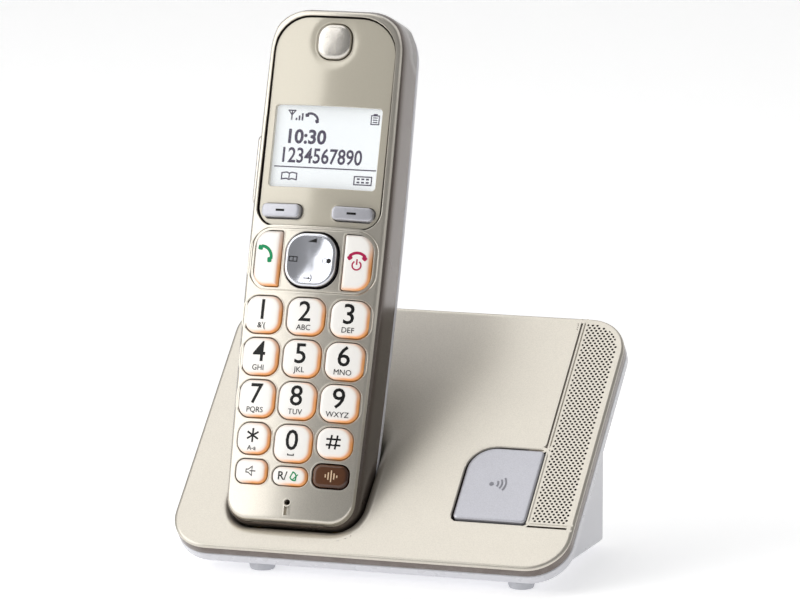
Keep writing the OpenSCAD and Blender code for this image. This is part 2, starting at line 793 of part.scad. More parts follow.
module locator_board() {
    color("darkgreen") on_plate() translate([0, 0, locator_board_z - board_t])
        linear_extrude(board_t) locator_shape(locator_rim);
}

// ---- Nodes --------------------------------------------------------------------------------

base_top_cover();
grille_strip();
base_rear_housing();
base_feet();
base_screws();
base_circuit_board();
base_shield_can();
base_antenna();
dc_jack();
line_jack();
base_charge_contacts();
locator_button();
locator_switch();
locator_board();
handset_front_cover();
handset_rear_cover();
display_panel();
display_window();
lcd_module();
earpiece_cap();
receiver_speaker();
key_mat();
handset_circuit_board();
handset_antenna();
microphone();
ringer_speaker();
battery_cells();
battery_contacts();
battery_cover();
handset_screws();
handset_charge_contacts();
nav_pivot();
nav_key();
color("ivory") key("key_talk");  // key_talk
color("ivory") key("key_off");  // key_off
color("silver") key("softkey_left");  // softkey_left
color("silver") key("softkey_right");  // softkey_right
volume_key();
volume_switches();
color("ivory") key("key_speakerphone");  // key_speakerphone
color("ivory") key("key_recall");  // key_recall
color("saddlebrown") key("key_noise_reduction");  // key_noise_reduction
for (digit = DIGITS) digit_key(str("key_", digit));
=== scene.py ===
"""Looks of a cordless telephone handset standing in a sloping charging base.

Every length in the shape code is in millimetres in a part's own axes, and `Axes.place` turns it
into metres in the shared frame. Operators build one piece or one group of like pieces each.
"""

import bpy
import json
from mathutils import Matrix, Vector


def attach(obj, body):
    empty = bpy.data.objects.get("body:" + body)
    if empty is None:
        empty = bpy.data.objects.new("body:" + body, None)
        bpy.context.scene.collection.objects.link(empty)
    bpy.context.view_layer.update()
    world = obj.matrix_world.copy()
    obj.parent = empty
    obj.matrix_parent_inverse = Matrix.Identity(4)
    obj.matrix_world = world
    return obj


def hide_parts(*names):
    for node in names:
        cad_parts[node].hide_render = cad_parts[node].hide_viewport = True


bl_info = {
    "name": "Desk Phone Looks",
    "version": (1, 0, 0),
    "blender": (4, 5, 0),
    "location": "3D Viewport > Sidebar > Desk Phone",
    "description": "Builds the visible pieces and finishes of a handset and its charging base",
    "category": "Object",
}

import json
import math

import bmesh
import bpy
import numpy as np
from bpy.props import FloatProperty, FloatVectorProperty, PointerProperty

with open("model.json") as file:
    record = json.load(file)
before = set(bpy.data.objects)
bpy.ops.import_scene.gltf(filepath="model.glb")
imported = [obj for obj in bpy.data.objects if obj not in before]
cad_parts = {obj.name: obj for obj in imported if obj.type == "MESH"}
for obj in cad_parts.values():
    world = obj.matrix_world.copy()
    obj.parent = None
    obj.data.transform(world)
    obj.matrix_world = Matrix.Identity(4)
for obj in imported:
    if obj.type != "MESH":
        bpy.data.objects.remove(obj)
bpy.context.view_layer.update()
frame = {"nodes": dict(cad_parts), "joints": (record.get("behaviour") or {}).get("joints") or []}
MM = 0.001


# ---- Axes of the parts ---------------------------------------------------------------------

class Axes:
    """A part's own axes in millimetres: x across, y up the part and z out of its visible face."""

    def __init__(self, x, y, origin=(0, 0, 0)):
        self.turn = np.array([x, y, np.cross(x, y)], float)
        self.origin = np.array(origin, float)

    def place(self, points):
        """World points in metres of local points in millimetres."""
        return (points @ self.turn + self.origin) * MM

    def local(self, points):
        """Local points in millimetres of world points in metres."""
        return (points / MM - self.origin) @ self.turn.T

    def box(self, *nodes, above=-1e9):
        """Lowest and highest local corners of some CAD nodes, of their points above a height."""
        found = [np.array([v.co for v in frame["nodes"][n].data.vertices]) for n in nodes]
        local = self.local(np.concatenate(found))
        local = local[local[:, 2] > above]
        return local.min(0), local.max(0)

    def moved(self, point, x, y):
        """Other axes that start at a local point and follow two local directions."""
        return Axes(x @ self.turn, y @ self.turn, np.array(point) @ self.turn + self.origin)


def joint_axis(name):
    """Direction of a joint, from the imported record."""
    return np.array([j["axis"] for j in frame["joints"] if j["name"] == name][0], float)


ACROSS = np.array([1.0, 0.0, 0.0])
UP = np.array([0.0, 1.0, 0.0])


def handset_axes():
    """Handset: y from its lower end up, z out of the middle of its front face."""
    axes = Axes(ACROSS, joint_axis("handset_lift"))
    low, high = axes.box("handset_front_cover")
    corner = [(low[0] + high[0]) / 2, low[1], high[2]]
    return Axes(ACROSS, joint_axis("handset_lift"), corner @ axes.turn)


def plate_axes():
    """Sloping plate: y from its front edge up the slope, z out of its face."""
    slope = np.cross(-joint_axis("locator_press"), ACROSS)
    axes = Axes(ACROSS, slope)
    low, high = axes.box("base_top_cover")
    corner = [(low[0] + high[0]) / 2, low[1], high[2]]
    return Axes(ACROSS, slope, corner @ axes.turn)


HANDSET = handset_axes()
PLATE = plate_axes()
ROOM = Axes(ACROSS, UP)

BODY_LOW, BODY_HIGH = HANDSET.box("handset_front_cover", "handset_rear_cover")
LENGTH = BODY_HIGH[1]                          # Of the handset
DEPTH = -BODY_LOW[2]
SPLIT = -HANDSET.box("handset_front_cover")[0][2]   # Depth of the seam between its two covers
TOP_W = BODY_HIGH[0] - BODY_LOW[0]
FOOT_W = 45.4
FOOT_R = 8.5
HEAD_R = 14.0
FACE_W = TOP_W - 5
CROWN = 2.1                                    # Fall of the face at its outer edges
BACK = HANDSET.moved([0, 0, -DEPTH], -ACROSS, UP)   # Axes of its back, z out of the back
SWELL, SWELL_FALL = 0.0249, 0.000201           # Of its sides: per mm up it, and per mm squared
DISH_R, DISH_DEEP = 10.2, 0.9                  # Radius and depth of the dish round the earpiece
BAY_W = 24.0                                   # Width of the battery bay
SOUND_DOWN = 34                                # From the upper end to the row of sound holes
FACE_CELL, BACK_CELL = 0.38, 0.5               # Sides of the cells of its curved and flat sheets

PLATE_LOW, PLATE_HIGH = PLATE.box("base_top_cover")
PLATE_W = PLATE_HIGH[0] * 2
PLATE_L = PLATE_HIGH[1]
BAND_T = 4.2                                   # Height of the band along the plate's edge, its darker colour painted shade
SLAB_T = 8.7                                   # Height of the band and the white lip together
SCREW_WELL = 5.21                              # Width of the hole over a screw
PLATE_R = 13.5                                 # Radius of the plate's corners
PLATE_CELL = 0.5                               # Side of a cell of the plate's sheet
LOCATOR_GAP = 0.85                             # Between the locator button and the plate
STRIP_GAP = 0.1                                # Between the perforated strip and the plate
POCKET_Y, POCKET_LEAN = 23.5, 0.45             # Middle of the pocket up the plate, and its shift per mm
HOUSING_LOW, HOUSING_HIGH = ROOM.box("base_rear_housing")


# ---- Shapes --------------------------------------------------------------------------------

def fall(x):
    """Fall of the handset's crowned face at a distance x from its middle: a parabola."""
    return CROWN * (2 * x / FACE_W) ** 2


def box_corners(width, height, radius, centre=(0, 0)):
    """Four corner circles (x, y, r), anticlockwise from the lower right. radius may be four."""
    r = np.resize(np.array(radius, float), 4)
    x = centre[0] + np.array([1, 1, -1, -1]) * (width / 2 - r)
    y = centre[1] + np.array([-1, 1, 1, -1]) * (height / 2 - r)
    return np.stack([x, y, r], 1)


def tangents(circles):
    """Directions of the outward normals of the lines that touch each circle and the next."""
    step = np.roll(circles, -1, 0) - circles
    lean = np.arccos(np.clip(-step[:, 2] / np.hypot(step[:, 0], step[:, 1]), -1, 1))
    return np.arctan2(step[:, 1], step[:, 0]) - lean


def outline(circles, inset=0.0, steps=8, along=1):
    """Rounded outline round circles: an arc on each, joined by straight lines of `along` parts."""
    leave = tangents(circles)
    arrive = np.roll(leave, 1)
    turn = (leave - arrive) % (2 * np.pi)
    angles = arrive[:, None] + turn[:, None] * np.linspace(0, 1, steps + 1)
    radius = circles[:, 2] - inset
    over = np.minimum(radius - 0.05, 0)
    centre = circles[:, :2] + over[:, None] * np.sign(circles[:, :2] - circles[:, :2].mean(0))
    arc = np.stack([np.cos(angles), np.sin(angles)], 2) * np.maximum(radius, 0.05)[:, None, None]
    arc = arc + centre[:, None]
    share = np.linspace(0, 1, along + 1)[1:-1, None]
    line = arc[:, -1:] + (np.roll(arc[:, 0], -1, 0)[:, None] - arc[:, -1:]) * share
    return np.concatenate([arc, line], 1).reshape(-1, 2)


def distance(circles, x, y):
    """Signed distance to a rounded outline, negative inside: the largest distance past any of
    its straight sides, or the distance past a corner's arc where that corner is nearest."""
    a = tangents(circles)
    side = [np.cos(t) * (x - c[0]) + np.sin(t) * (y - c[1]) - c[2] for t, c in zip(a, circles)]
    found = np.max(side, 0)
    for i, c in enumerate(circles):
        u, v = x - c[0], y - c[1]
        b = a[i - 1]
        between = (np.cos(b) * v - np.sin(b) * u > 0) & (np.sin(a[i]) * u - np.cos(a[i]) * v > 0)
        found = np.where(between, np.hypot(u, v) - c[2], found)
    return found


def sections(circles, profile, steps=8, along=1, height=None):
    """Rings of one outline at a list of (inset, z), with a height field added to z."""
    rings = [outline(circles, inset, steps, along) for inset, _ in profile]
    xy = np.array(rings)
    z = np.repeat(np.array(profile)[:, 1][:, None], xy.shape[1], 1)
    if height is not None:
        z = z + height(xy[..., 0], xy[..., 1])
    return np.concatenate([xy, z[..., None]], 2)


def closed(rings, first=False, last=True, dome=0.0, parts=4, height=None):
    """Rings drawn in to the middle of the first or last one, with a low dome (1 - s squared)."""
    ends = []
    for ring, wanted, rise in ((rings[0], first, 0.0), (rings[-1], last, dome)):
        s = np.linspace(1, 0, parts + 1)[1:, None, None] ** 0.8
        middle = (ring.max(0) + ring.min(0)) / 2
        inner = middle + (ring - middle) * s
        inner[..., 2] = ring[..., 2].mean() + rise * (1 - s[..., 0] ** 2)
        if height is not None:
            base = ring[:, 2] - height(ring[:, 0], ring[:, 1])
            inner[..., 2] = base.mean() + rise * (1 - s[..., 0] ** 2)
            inner[..., 2] += height(inner[..., 0], inner[..., 1])
        ends.append(inner if wanted else inner[:0])
    return np.concatenate([ends[0][::-1], rings, ends[1]])


def pillow(circles, profile, dome=0.0, bottom=False, steps=8, along=1, height=None):
    """A button: an outline carried up a profile of (inset, z), closed over by a low dome."""
    rings = sections(circles, profile, steps, along, height)
    return closed(rings, bottom, True, dome, 5, height)


LIP = ((0.62, -0.01), (0.5, 0.02), (0.3, 0.035), (0.14, 0.0), (0.04, -0.1), (0.0, -0.25))


def lip(circles, gap, depth, height=None, steps=8, along=4, profile=LIP):
    """The rounded edge and the wall of an opening, `gap` wider than an outline."""
    down = [(-gap - out, z) for out, z in profile] + [(-gap, -depth)]
    return sections(circles, down, steps, along, height)


def bounds_of(circles, inset, rows):
    """Left and right sides of an outline at heights `rows`, read off its own points."""
    points = outline(circles, inset, 24)
    half = len(points) // 2
    right, left = points[:half], points[half:][::-1]
    return [np.interp(rows, side[:, 1], side[:, 0]) for side in (left, right)]


def sheet(circles, inset, cell, height, openings=()):
    """A height field z(x, y) inside an outline: x runs from side to side in equal parts at each
    height y, and y steps follow the corner arcs. Cells that reach into an opening are left out."""
    points = outline(circles, inset, 24)
    low, high = points[:, 1].min(), points[:, 1].max()
    arc = 1 - np.cos(np.linspace(0, np.pi / 2, 14))
    under = max(circles[[0, 3], 2].max() - inset, 0.1) * arc
    over = max(circles[[1, 2], 2].max() - inset, 0.1) * arc
    count = max(int((high - low - under[-1] - over[-1]) / cell), 2)
    middle = np.linspace(low + under[-1], high - over[-1], count)
    rows = np.concatenate([low + under[:-1], middle, (high - over[:-1])[::-1]])
    left, right = bounds_of(circles, inset, rows)
    share = np.linspace(0, 1, int((right - left).max() / cell) + 1)
    x = left[:, None] + (right - left)[:, None] * share
    y = np.repeat(rows[:, None], len(share), 1)
    keep = np.ones((len(rows) - 1, len(share) - 1), bool)
    for opening in openings:
        clear = opening(x, y) > 0
        keep &= clear[:-1, :-1] & clear[1:, :-1] & clear[1:, 1:] & clear[:-1, 1:]
    return np.stack([x, y, height(x, y)], 2), keep


def around(test, centre, level, count=120, reach=60.0, halvings=26):
    """Points where a function of (x, y) reaches a level: one on each of `count` rays from a
    centre, found by halving the stretch of ray that it lies in."""
    a = np.linspace(0, 2 * np.pi, count, endpoint=False)
    low, high = np.zeros(count), np.full(count, reach)
    for _ in range(halvings):
        r = (low + high) / 2
        inside = test(centre[0] + r * np.cos(a), centre[1] + r * np.sin(a)) < level
        low, high = np.where(inside, r, low), np.where(inside, high, r)
    return np.stack([centre[0] + low * np.cos(a), centre[1] + low * np.sin(a)], 1)


def ribbon(path, profile, loop=False, height=None):
    """A profile of (side, z) carried along a flat path, square to it at every point."""
    ahead = np.roll(path, -1, 0) - path
    behind = path - np.roll(path, 1, 0)
    if not loop:
        ahead[-1], behind[0] = behind[-1], ahead[0]
    ahead /= np.linalg.norm(ahead, axis=1)[:, None]
    behind /= np.linalg.norm(behind, axis=1)[:, None]
    along = ahead + behind
    stretch = 2 / np.maximum((along ** 2).sum(1), 1.0)
    side = np.stack([along[:, 1], -along[:, 0]], 1) * stretch[:, None]
    profile = np.array(profile)
    xy = path[None] - side[None] * profile[:, 0][:, None, None]
    z = np.repeat(profile[:, 1][:, None], len(path), 1)
    if height is not None:
        z = z + height(xy[..., 0], xy[..., 1])
    return np.concatenate([xy, z[..., None]], 2)


def curve(*turns, steps=10):
    """A flat path from a list of points and (x, y, radius, from, to) arcs, angles in degrees."""
    parts = []
    for t in turns:
        if len(t) == 2:
            parts.append(np.array([t], float))
        else:
            a = np.radians(np.linspace(t[3], t[4], steps + 1))
            parts.append(np.stack([t[0] + t[2] * np.cos(a), t[1] + t[2] * np.sin(a)], 1))
    return np.concatenate(parts)


# ---- Meshes --------------------------------------------------------------------------------

class Piece:
    """Grids and outlines collected into one mesh, each with its finish and a mark per point."""

    def __init__(self, name, axes, body):
        self.name, self.axes, self.body = name, axes, body
        self.points, self.faces, self.skins, self.marks = [], [], [], []
        self.finishes, self.count = [], 0
        self.bend = None

    def _take(self, points, faces, finish, mark):
        """Adds points in metres and their faces, with a finish and a mark."""
        if finish not in self.finishes:
            self.finishes.append(finish)
        self.points.append(points.reshape(-1, 3))
        self.faces.extend([[i + self.count for i in face] for face in faces])
        self.skins.append(np.full(len(faces), self.finishes.index(finish)))
        self.marks.append(np.broadcast_to(mark, points.shape[:-1]).reshape(-1))
        self.count += self.points[-1].shape[0]

    def grid(self, points, finish, keep=None, loop=False, mark=0.0, axes=None):
        """Quads between the neighbours of a grid of points. loop joins its last column to its
        first, and keep says which quads are made."""
        rows, columns = points.shape[:2]
        index = np.arange(rows * columns).reshape(rows, columns)
        if loop:
            index = np.concatenate([index, index[:, :1]], 1)
        quads = np.stack([index[:-1, :-1], index[:-1, 1:], index[1:, 1:], index[1:, :-1]], 2)
        quads = quads.reshape(-1, 4) if keep is None else quads[keep]
        if self.bend:
            points = self.bend(points)
        self._take((axes or self.axes).place(points), quads, finish, mark)

    def loft(self, points, finish, mark=0.0, axes=None):
        """Rings of points joined into a closed band."""
        self.grid(points, finish, loop=True, mark=mark, axes=axes)

    def flat(self, points, faces, finish, axes=None):
        """Printed marks: points with faces of their own."""
        self._take((axes or self.axes).place(points), faces, finish, 0.0)

    def tiles(self, points, finish):
        """Many small closed bands at once: points has one more axis in front, one per tile."""
        count, rings, columns = points.shape[:3]
        index = np.arange(rings * columns).reshape(rings, columns)
        index = np.concatenate([index, index[:, :1]], 1)
        quads = np.stack([index[:-1, :-1], index[:-1, 1:], index[1:, 1:], index[1:, :-1]], 2)
        first = np.arange(count)[:, None, None] * rings * columns
        faces = (quads.reshape(1, -1, 4) + first).reshape(-1, 4)
        self._take(self.axes.place(points.reshape(-1, 3)), faces, finish, 0.0)

    def mesh(self, smooth):
        """The mesh: doubles merged, soft shading up to an angle."""
        mesh = bpy.data.meshes.new(self.name)
        mesh.from_pydata(np.concatenate(self.points), [], self.faces)
        mesh.polygons.foreach_set("material_index", np.concatenate(self.skins))
        marks = mesh.attributes.new("mark", "FLOAT", "POINT")
        marks.data.foreach_set("value", np.concatenate(self.marks).astype(np.float32))
        tidy = bmesh.new()
        tidy.from_mesh(mesh)
        bmesh.ops.remove_doubles(tidy, verts=tidy.verts, dist=2e-7)
        tidy.to_mesh(mesh)
        tidy.free()
        mesh.shade_smooth()
        mesh.set_sharp_from_angle(angle=math.radians(smooth))
        for finish in self.finishes:
            mesh.materials.append(material(finish))
        return mesh

    def stand(self):
        """The object of a floor or backdrop."""
        piece = bpy.data.objects.new(self.name, self.mesh(30))
        bpy.context.scene.collection.objects.link(piece)
        return piece

    def make(self, smooth=35, replaces=()):
        """The object of a piece of the phone, riding on its body."""
        piece = bpy.data.objects.new(self.name, self.mesh(smooth))
        bpy.context.scene.collection.objects.link(piece)
        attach(piece, self.body)
        if replaces:
            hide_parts(*replaces)
        return piece


def letters(text, height, x, y, bold=0.0, narrow=1.0):
    """Flat points and faces of a word, its capitals `height` tall, centred on (x, y)."""
    curve_data = bpy.data.curves.new("word", "FONT")
    curve_data.body = text
    curve_data.align_x = "CENTER"
    curve_data.resolution_u = 3
    curve_data.offset = bold
    word = bpy.data.objects.new("word", curve_data)
    bpy.context.scene.collection.objects.link(word)
    bpy.context.view_layer.update()
    mesh = bpy.data.meshes.new_from_object(word)
    flat = np.array([v.co[:2] for v in mesh.vertices]).reshape(-1, 2)
    faces = [list(p.vertices) for p in mesh.polygons]
    bpy.data.objects.remove(word)
    bpy.data.meshes.remove(mesh)
    bpy.data.curves.remove(curve_data)
    flat = (flat - [0, CAP / 2]) * (height / CAP) * [narrow, 1] + [x, y]
    return flat, faces


CAP = 0.682                                    # Height of a capital in a font of size 1


def stroke(path, width, x=0.0, y=0.0, loop=False):
    """Flat points and faces of a line of some width along a path."""
    path = np.array(path, float) + [x, y]
    strip = ribbon(path, [(-width / 2, 0), (width / 2, 0)], loop)[..., :2]
    n = len(path)
    a = np.arange(n if loop else n - 1)
    b = (a + 1) % n
    return strip.reshape(-1, 2), np.stack([a, b, b + n, a + n], 1).tolist()


def patch(points, x=0.0, y=0.0):
    """Flat points and one face of a filled outline, listed anticlockwise."""
    points = np.array(points, float) + [x, y]
    return points, [list(range(len(points)))]


def disc(radius, x, y, count=20):
    """A filled circle."""
    a = np.linspace(0, 2 * np.pi, count, endpoint=False)
    return patch(np.stack([np.cos(a), np.sin(a)], 1) * radius, x, y)


def receiver(size, x, y, lean=0.0):
    """A telephone receiver: an arc of a circle with a rounded block at each of its ends."""
    bar, faces = stroke(curve((0, -0.5, 0.72, 140, 40), steps=16), 0.2)
    parts, joined = [bar], list(faces)
    for side in (-1, 1):
        block = outline(box_corners(0.34, 0.3, 0.09), 0, 4)
        a = math.radians(-38 * side)
        block = block @ np.array([[math.cos(a), math.sin(a)], [-math.sin(a), math.cos(a)]])
        count = sum(len(part) for part in parts)
        parts.append(block + [0.52 * side, -0.14])
        joined.append([count + i for i in range(len(block))])
    c, s = math.cos(math.radians(lean)), math.sin(math.radians(lean))
    points = np.concatenate(parts) * size * 0.78
    return points @ np.array([[c, s], [-s, c]]) + [x, y], joined


def pressed(flat, height, lift):
    """Flat marks laid on a surface z(x, y), a little above it."""
    return np.concatenate([flat, (height(flat[:, 0], flat[:, 1]) + lift)[:, None]], 1)


# ---- Settings ------------------------------------------------------------------------------

def tone(red, green, blue):
    """Linear colour of a screen tone from 0 to 255."""
    c = np.array([red, green, blue]) / 255
    return tuple(np.where(c <= 0.04045, c / 12.92, ((c + 0.055) / 1.055) ** 2.4).tolist())


def length(name, millimetres, description):
    """A length that a user may change."""
    return FloatProperty(name=name, default=millimetres * MM, min=0.0, unit="LENGTH",
                         precision=5, description=description)


def colour(name, default, description):
    """A colour that a user may change."""
    return FloatVectorProperty(name=name, default=default, min=0.0, max=1.0, subtype="COLOR",
                               description=description)


class DeskPhoneSizes(bpy.types.PropertyGroup):
    """Sizes of the fine shapes that the frame doesn't give."""
    key_edge: length("Key edge", 0.6, "Rounding along the top edge of a key")
    key_gap: length("Key gap", 0.35, "Gap between a key and its opening")
    key_dome: length("Key dome", 0.12, "Rise of a key's middle above its edges")
    panel_depth: length("Panel depth", 0.9, "How deep the display panel lies in the face")
    screen_depth: length("Screen depth", 1.5, "Depth of the screen below the panel")
    groove: length("Groove width", 1.5, "Width of the groove in the plate")
    hole: length("Hole diameter", 0.88, "Diameter of a hole in the strip")
    hole_pitch: length("Hole pitch", 1.62, "Distance between holes in one row of the strip")
    row_pitch: length("Row pitch", 1.05, "Distance between rows of holes")
    pocket_gap: length("Pocket gap", 0.55, "Gap between the handset and its pocket")


class DeskPhoneColours(bpy.types.PropertyGroup):
    """Colours of the main finishes."""
    champagne: colour("Champagne", tone(214, 208, 196), "Lacquer of the plate and the front")
    panel: colour("Panel", tone(208, 201, 184), "Glossy panel round the screen")
    # The bands are the champagne lacquer; this darker tone is painted shade.
    band: colour("Band", tone(112, 102, 96), "Lacquer of the bands along both edges")
    white: colour("White", tone(214, 214, 219), "Moulded covers of the base and the back")
    key_white: colour("Key white", tone(253, 250, 245), "Tops of the white keys")
    # Amber of the keys' backlight; on their sides it is also painted glow, strongest to the right and
    # below.
    key_glow: colour("Key glow", tone(250, 172, 104), "Lit sides of the white keys")
    key_brown: colour("Key brown", tone(92, 54, 28), "Dark key at the lower right")
    screen: colour("Screen", tone(228, 232, 234), "Face of the screen")
    ink: colour("Screen ink", tone(36, 8, 66), "Marks on the screen")
    print_black: colour("Print", tone(14, 14, 14), "Marks on the keys")
    green: colour("Green mark", tone(0, 150, 92), "Mark of the talk key")
    red: colour("Red mark", tone(188, 30, 84), "Mark of the off key")


class DeskPhoneStage(bpy.types.PropertyGroup):
    """Camera and light."""
    camera_distance: length("Camera distance", 1836.5, "From the camera to the phone")
    camera_turn: FloatProperty(name="Camera turn", default=math.radians(19), subtype="ANGLE",
                               description="Turn of the camera round the phone, from its front")
    camera_rise: FloatProperty(name="Camera rise", default=math.radians(9.685), subtype="ANGLE",
                               description="Angle of the camera above the table")
    lens: FloatProperty(name="Lens", default=255.6, min=10.0, description="Focal length in mm")
    key_power: FloatProperty(name="Key power", default=21.0, min=0.0, unit="POWER",
                             description="Power of the large softbox on the left")


def sizes():
    """Sizes set in the sidebar."""
    return bpy.context.scene.desk_phone_sizes


def mm(value):
    """A length property in millimetres."""
    return value / MM


# ---- Materials -----------------------------------------------------------------------------

def add(tree, kind, settings=None, inputs=None):
    """A node with its settings, and its inputs set to values or joined to sockets."""
    made = tree.nodes.new(kind)
    for key, value in (settings or {}).items():
        setattr(made, key, value)
    for key, value in (inputs or {}).items():
        if isinstance(value, bpy.types.NodeSocket):
            tree.links.new(value, made.inputs[key])
        else:
            made.inputs[key].default_value = value
    return made


def effect(name, inputs, outputs):
    """An empty node group with named sockets, its input node and its output node."""
    tree = bpy.data.node_groups.new(name, "ShaderNodeTree")
    for label, kind, default in inputs:
        socket = tree.interface.new_socket(label, in_out="INPUT", socket_type=kind)
        socket.default_value = default
    for label, kind in outputs:
        tree.interface.new_socket(label, in_out="OUTPUT", socket_type=kind)
    return tree, tree.nodes.new("NodeGroupInput"), tree.nodes.new("NodeGroupOutput")


def math_node(tree, operation, a, b, clamp=False):
    """Result of one sum or product."""
    return add(tree, "ShaderNodeMath", {"operation": operation, "use_clamp": clamp},
               {0: a, 1: b}).outputs[0]


def shade_by(tree, tint, factor):
    """A colour made lighter or darker by a factor that varies over the surface."""
    return add(tree, "ShaderNodeMix", {"data_type": "RGBA", "blend_type": "MULTIPLY"},
               {"Factor": 1.0, 6: tint, 7: factor}).outputs[2]


def lacquer_effect():
    """Metallic lacquer: fine flakes that differ in tone and lean, over faint orange peel."""
    tree, given, out = effect(
        "Metallic lacquer",
        [("Colour", "NodeSocketColor", (0.7, 0.7, 0.7, 1)), ("Flake", "NodeSocketFloat", 0.06),
         ("Roughness", "NodeSocketFloat", 0.3), ("Peel", "NodeSocketFloat", 0.1)],
        [("Colour", "NodeSocketColor"), ("Roughness", "NodeSocketFloat"),
         ("Normal", "NodeSocketVector")])
    place = add(tree, "ShaderNodeTexCoord").outputs["Object"]
    flakes = add(tree, "ShaderNodeTexVoronoi", {}, {"Vector": place, "Scale": 5200.0})
    grey = add(tree, "ShaderNodeSeparateColor", {}, {0: flakes.outputs["Color"]}).outputs[0]
    swing = math_node(tree, "MULTIPLY", math_node(tree, "SUBTRACT", grey, 0.5),
                      given.outputs["Flake"])
    cloud = add(tree, "ShaderNodeTexNoise", {}, {"Vector": place, "Scale": 28.0, "Detail": 3.0})
    drift = math_node(tree, "MULTIPLY", math_node(tree, "SUBTRACT", cloud.outputs[0], 0.5), 0.05)
    factor = math_node(tree, "ADD", math_node(tree, "ADD", swing, drift), 1.0)
    tree.links.new(shade_by(tree, given.outputs["Colour"], factor), out.inputs["Colour"])
    worn = add(tree, "ShaderNodeTexNoise", {}, {"Vector": place, "Scale": 160.0, "Detail": 4.0})
    change = math_node(tree, "MULTIPLY", math_node(tree, "SUBTRACT", worn.outputs[0], 0.5), 0.07)
    rough = math_node(tree, "ADD", given.outputs["Roughness"], change, True)
    tree.links.new(rough, out.inputs["Roughness"])
    peel = add(tree, "ShaderNodeTexNoise", {}, {"Vector": place, "Scale": 950.0, "Detail": 1.0})
    bump = add(tree, "ShaderNodeBump", {}, {"Strength": given.outputs["Peel"],
                                            "Distance": 0.00003, "Height": peel.outputs[0]})
    sparkle = add(tree, "ShaderNodeBump", {}, {"Strength": 0.12, "Distance": 0.00002,
                                               "Height": grey, "Normal": bump.outputs[0]})
    tree.links.new(sparkle.outputs[0], out.inputs["Normal"])
    return tree


def grain_effect():
    """Moulded plastic: fine spark-eroded grain, with tone and gloss that drift slowly."""
    tree, given, out = effect(
        "Moulded grain",
        [("Colour", "NodeSocketColor", (0.8, 0.8, 0.8, 1)), ("Grain", "NodeSocketFloat", 0.2),
         ("Roughness", "NodeSocketFloat", 0.4), ("Scale", "NodeSocketFloat", 2600.0)],
        [("Colour", "NodeSocketColor"), ("Roughness", "NodeSocketFloat"),
         ("Normal", "NodeSocketVector")])
    place = add(tree, "ShaderNodeTexCoord").outputs["Object"]
    cloud = add(tree, "ShaderNodeTexNoise", {}, {"Vector": place, "Scale": 35.0, "Detail": 4.0})
    drift = math_node(tree, "MULTIPLY", math_node(tree, "SUBTRACT", cloud.outputs[0], 0.5), 0.06)
    tint = shade_by(tree, given.outputs["Colour"], math_node(tree, "ADD", drift, 1.0))
    tree.links.new(tint, out.inputs["Colour"])
    change = math_node(tree, "MULTIPLY", math_node(tree, "SUBTRACT", cloud.outputs[0], 0.5), 0.16)
    rough = math_node(tree, "ADD", given.outputs["Roughness"], change, True)
    tree.links.new(rough, out.inputs["Roughness"])
    pits = add(tree, "ShaderNodeTexNoise", {}, {"Vector": place, "Scale": given.outputs["Scale"],
                                                "Detail": 2.0, "Roughness": 0.6})
    bump = add(tree, "ShaderNodeBump", {}, {"Strength": given.outputs["Grain"],
                                            "Distance": 0.00004, "Height": pits.outputs[0]})
    tree.links.new(bump.outputs[0], out.inputs["Normal"])
    return tree


def wear_effect():
    """Wear: a patchy mask along sharp edges, from how far the surface juts out."""
    tree, given, out = effect("Edge wear", [("Amount", "NodeSocketFloat", 0.3)],
                              [("Mask", "NodeSocketFloat")])
    jut = add(tree, "ShaderNodeNewGeometry").outputs["Pointiness"]
    edge = add(tree, "ShaderNodeMapRange", {}, {0: jut, 1: 0.52, 2: 0.62, 3: 0.0, 4: 1.0})
    place = add(tree, "ShaderNodeTexCoord").outputs["Object"]
    patches = add(tree, "ShaderNodeTexNoise", {}, {"Vector": place, "Scale": 240.0})
    some = add(tree, "ShaderNodeMapRange", {}, {0: patches.outputs[0], 1: 0.4, 2: 0.6})
    both = math_node(tree, "MULTIPLY", edge.outputs[0], some.outputs[0])
    tree.links.new(math_node(tree, "MULTIPLY", both, given.outputs["Amount"], True),
                   out.inputs["Mask"])
    return tree


def group_node(tree, name, inputs):
    """A group placed in a material, made the first time that it is asked for."""
    found = bpy.data.node_groups.get(name) or EFFECTS[name]()
    return add(tree, "ShaderNodeGroup", {"node_tree": found}, inputs)


EFFECTS = {"Metallic lacquer": lacquer_effect, "Moulded grain": grain_effect,
           "Edge wear": wear_effect}


def start_material(name):
    """A new material with only a Principled BSDF and its output."""
    made = bpy.data.materials.new(name)
    made.use_nodes = True
    tree = made.node_tree
    shader = tree.nodes["Principled BSDF"]
    return made, tree, shader


def lacquer(name, tint, rough, flake, metal, peel=0.1, coat=0.25, wear=0.15):
    """Metallic lacquer under a thin clear coat, a little brighter where its edges are rubbed."""
    made, tree, shader = start_material(name)
    paint = group_node(tree, "Metallic lacquer", {
        "Colour": (*tint, 1), "Flake": flake, "Roughness": rough, "Peel": peel})
    worn = group_node(tree, "Edge wear", {"Amount": wear})
    bright = add(tree, "ShaderNodeMix", {"data_type": "RGBA"}, {
        "Factor": worn.outputs[0], 6: paint.outputs["Colour"], 7: (0.9, 0.89, 0.86, 1)})
    tree.links.new(bright.outputs[2], shader.inputs["Base Color"])
    tree.links.new(paint.outputs["Roughness"], shader.inputs["Roughness"])
    tree.links.new(paint.outputs["Normal"], shader.inputs["Normal"])
    shader.inputs["Metallic"].default_value = metal
    shader.inputs["Coat Weight"].default_value = coat
    shader.inputs["Coat Roughness"].default_value = 0.12
    return made


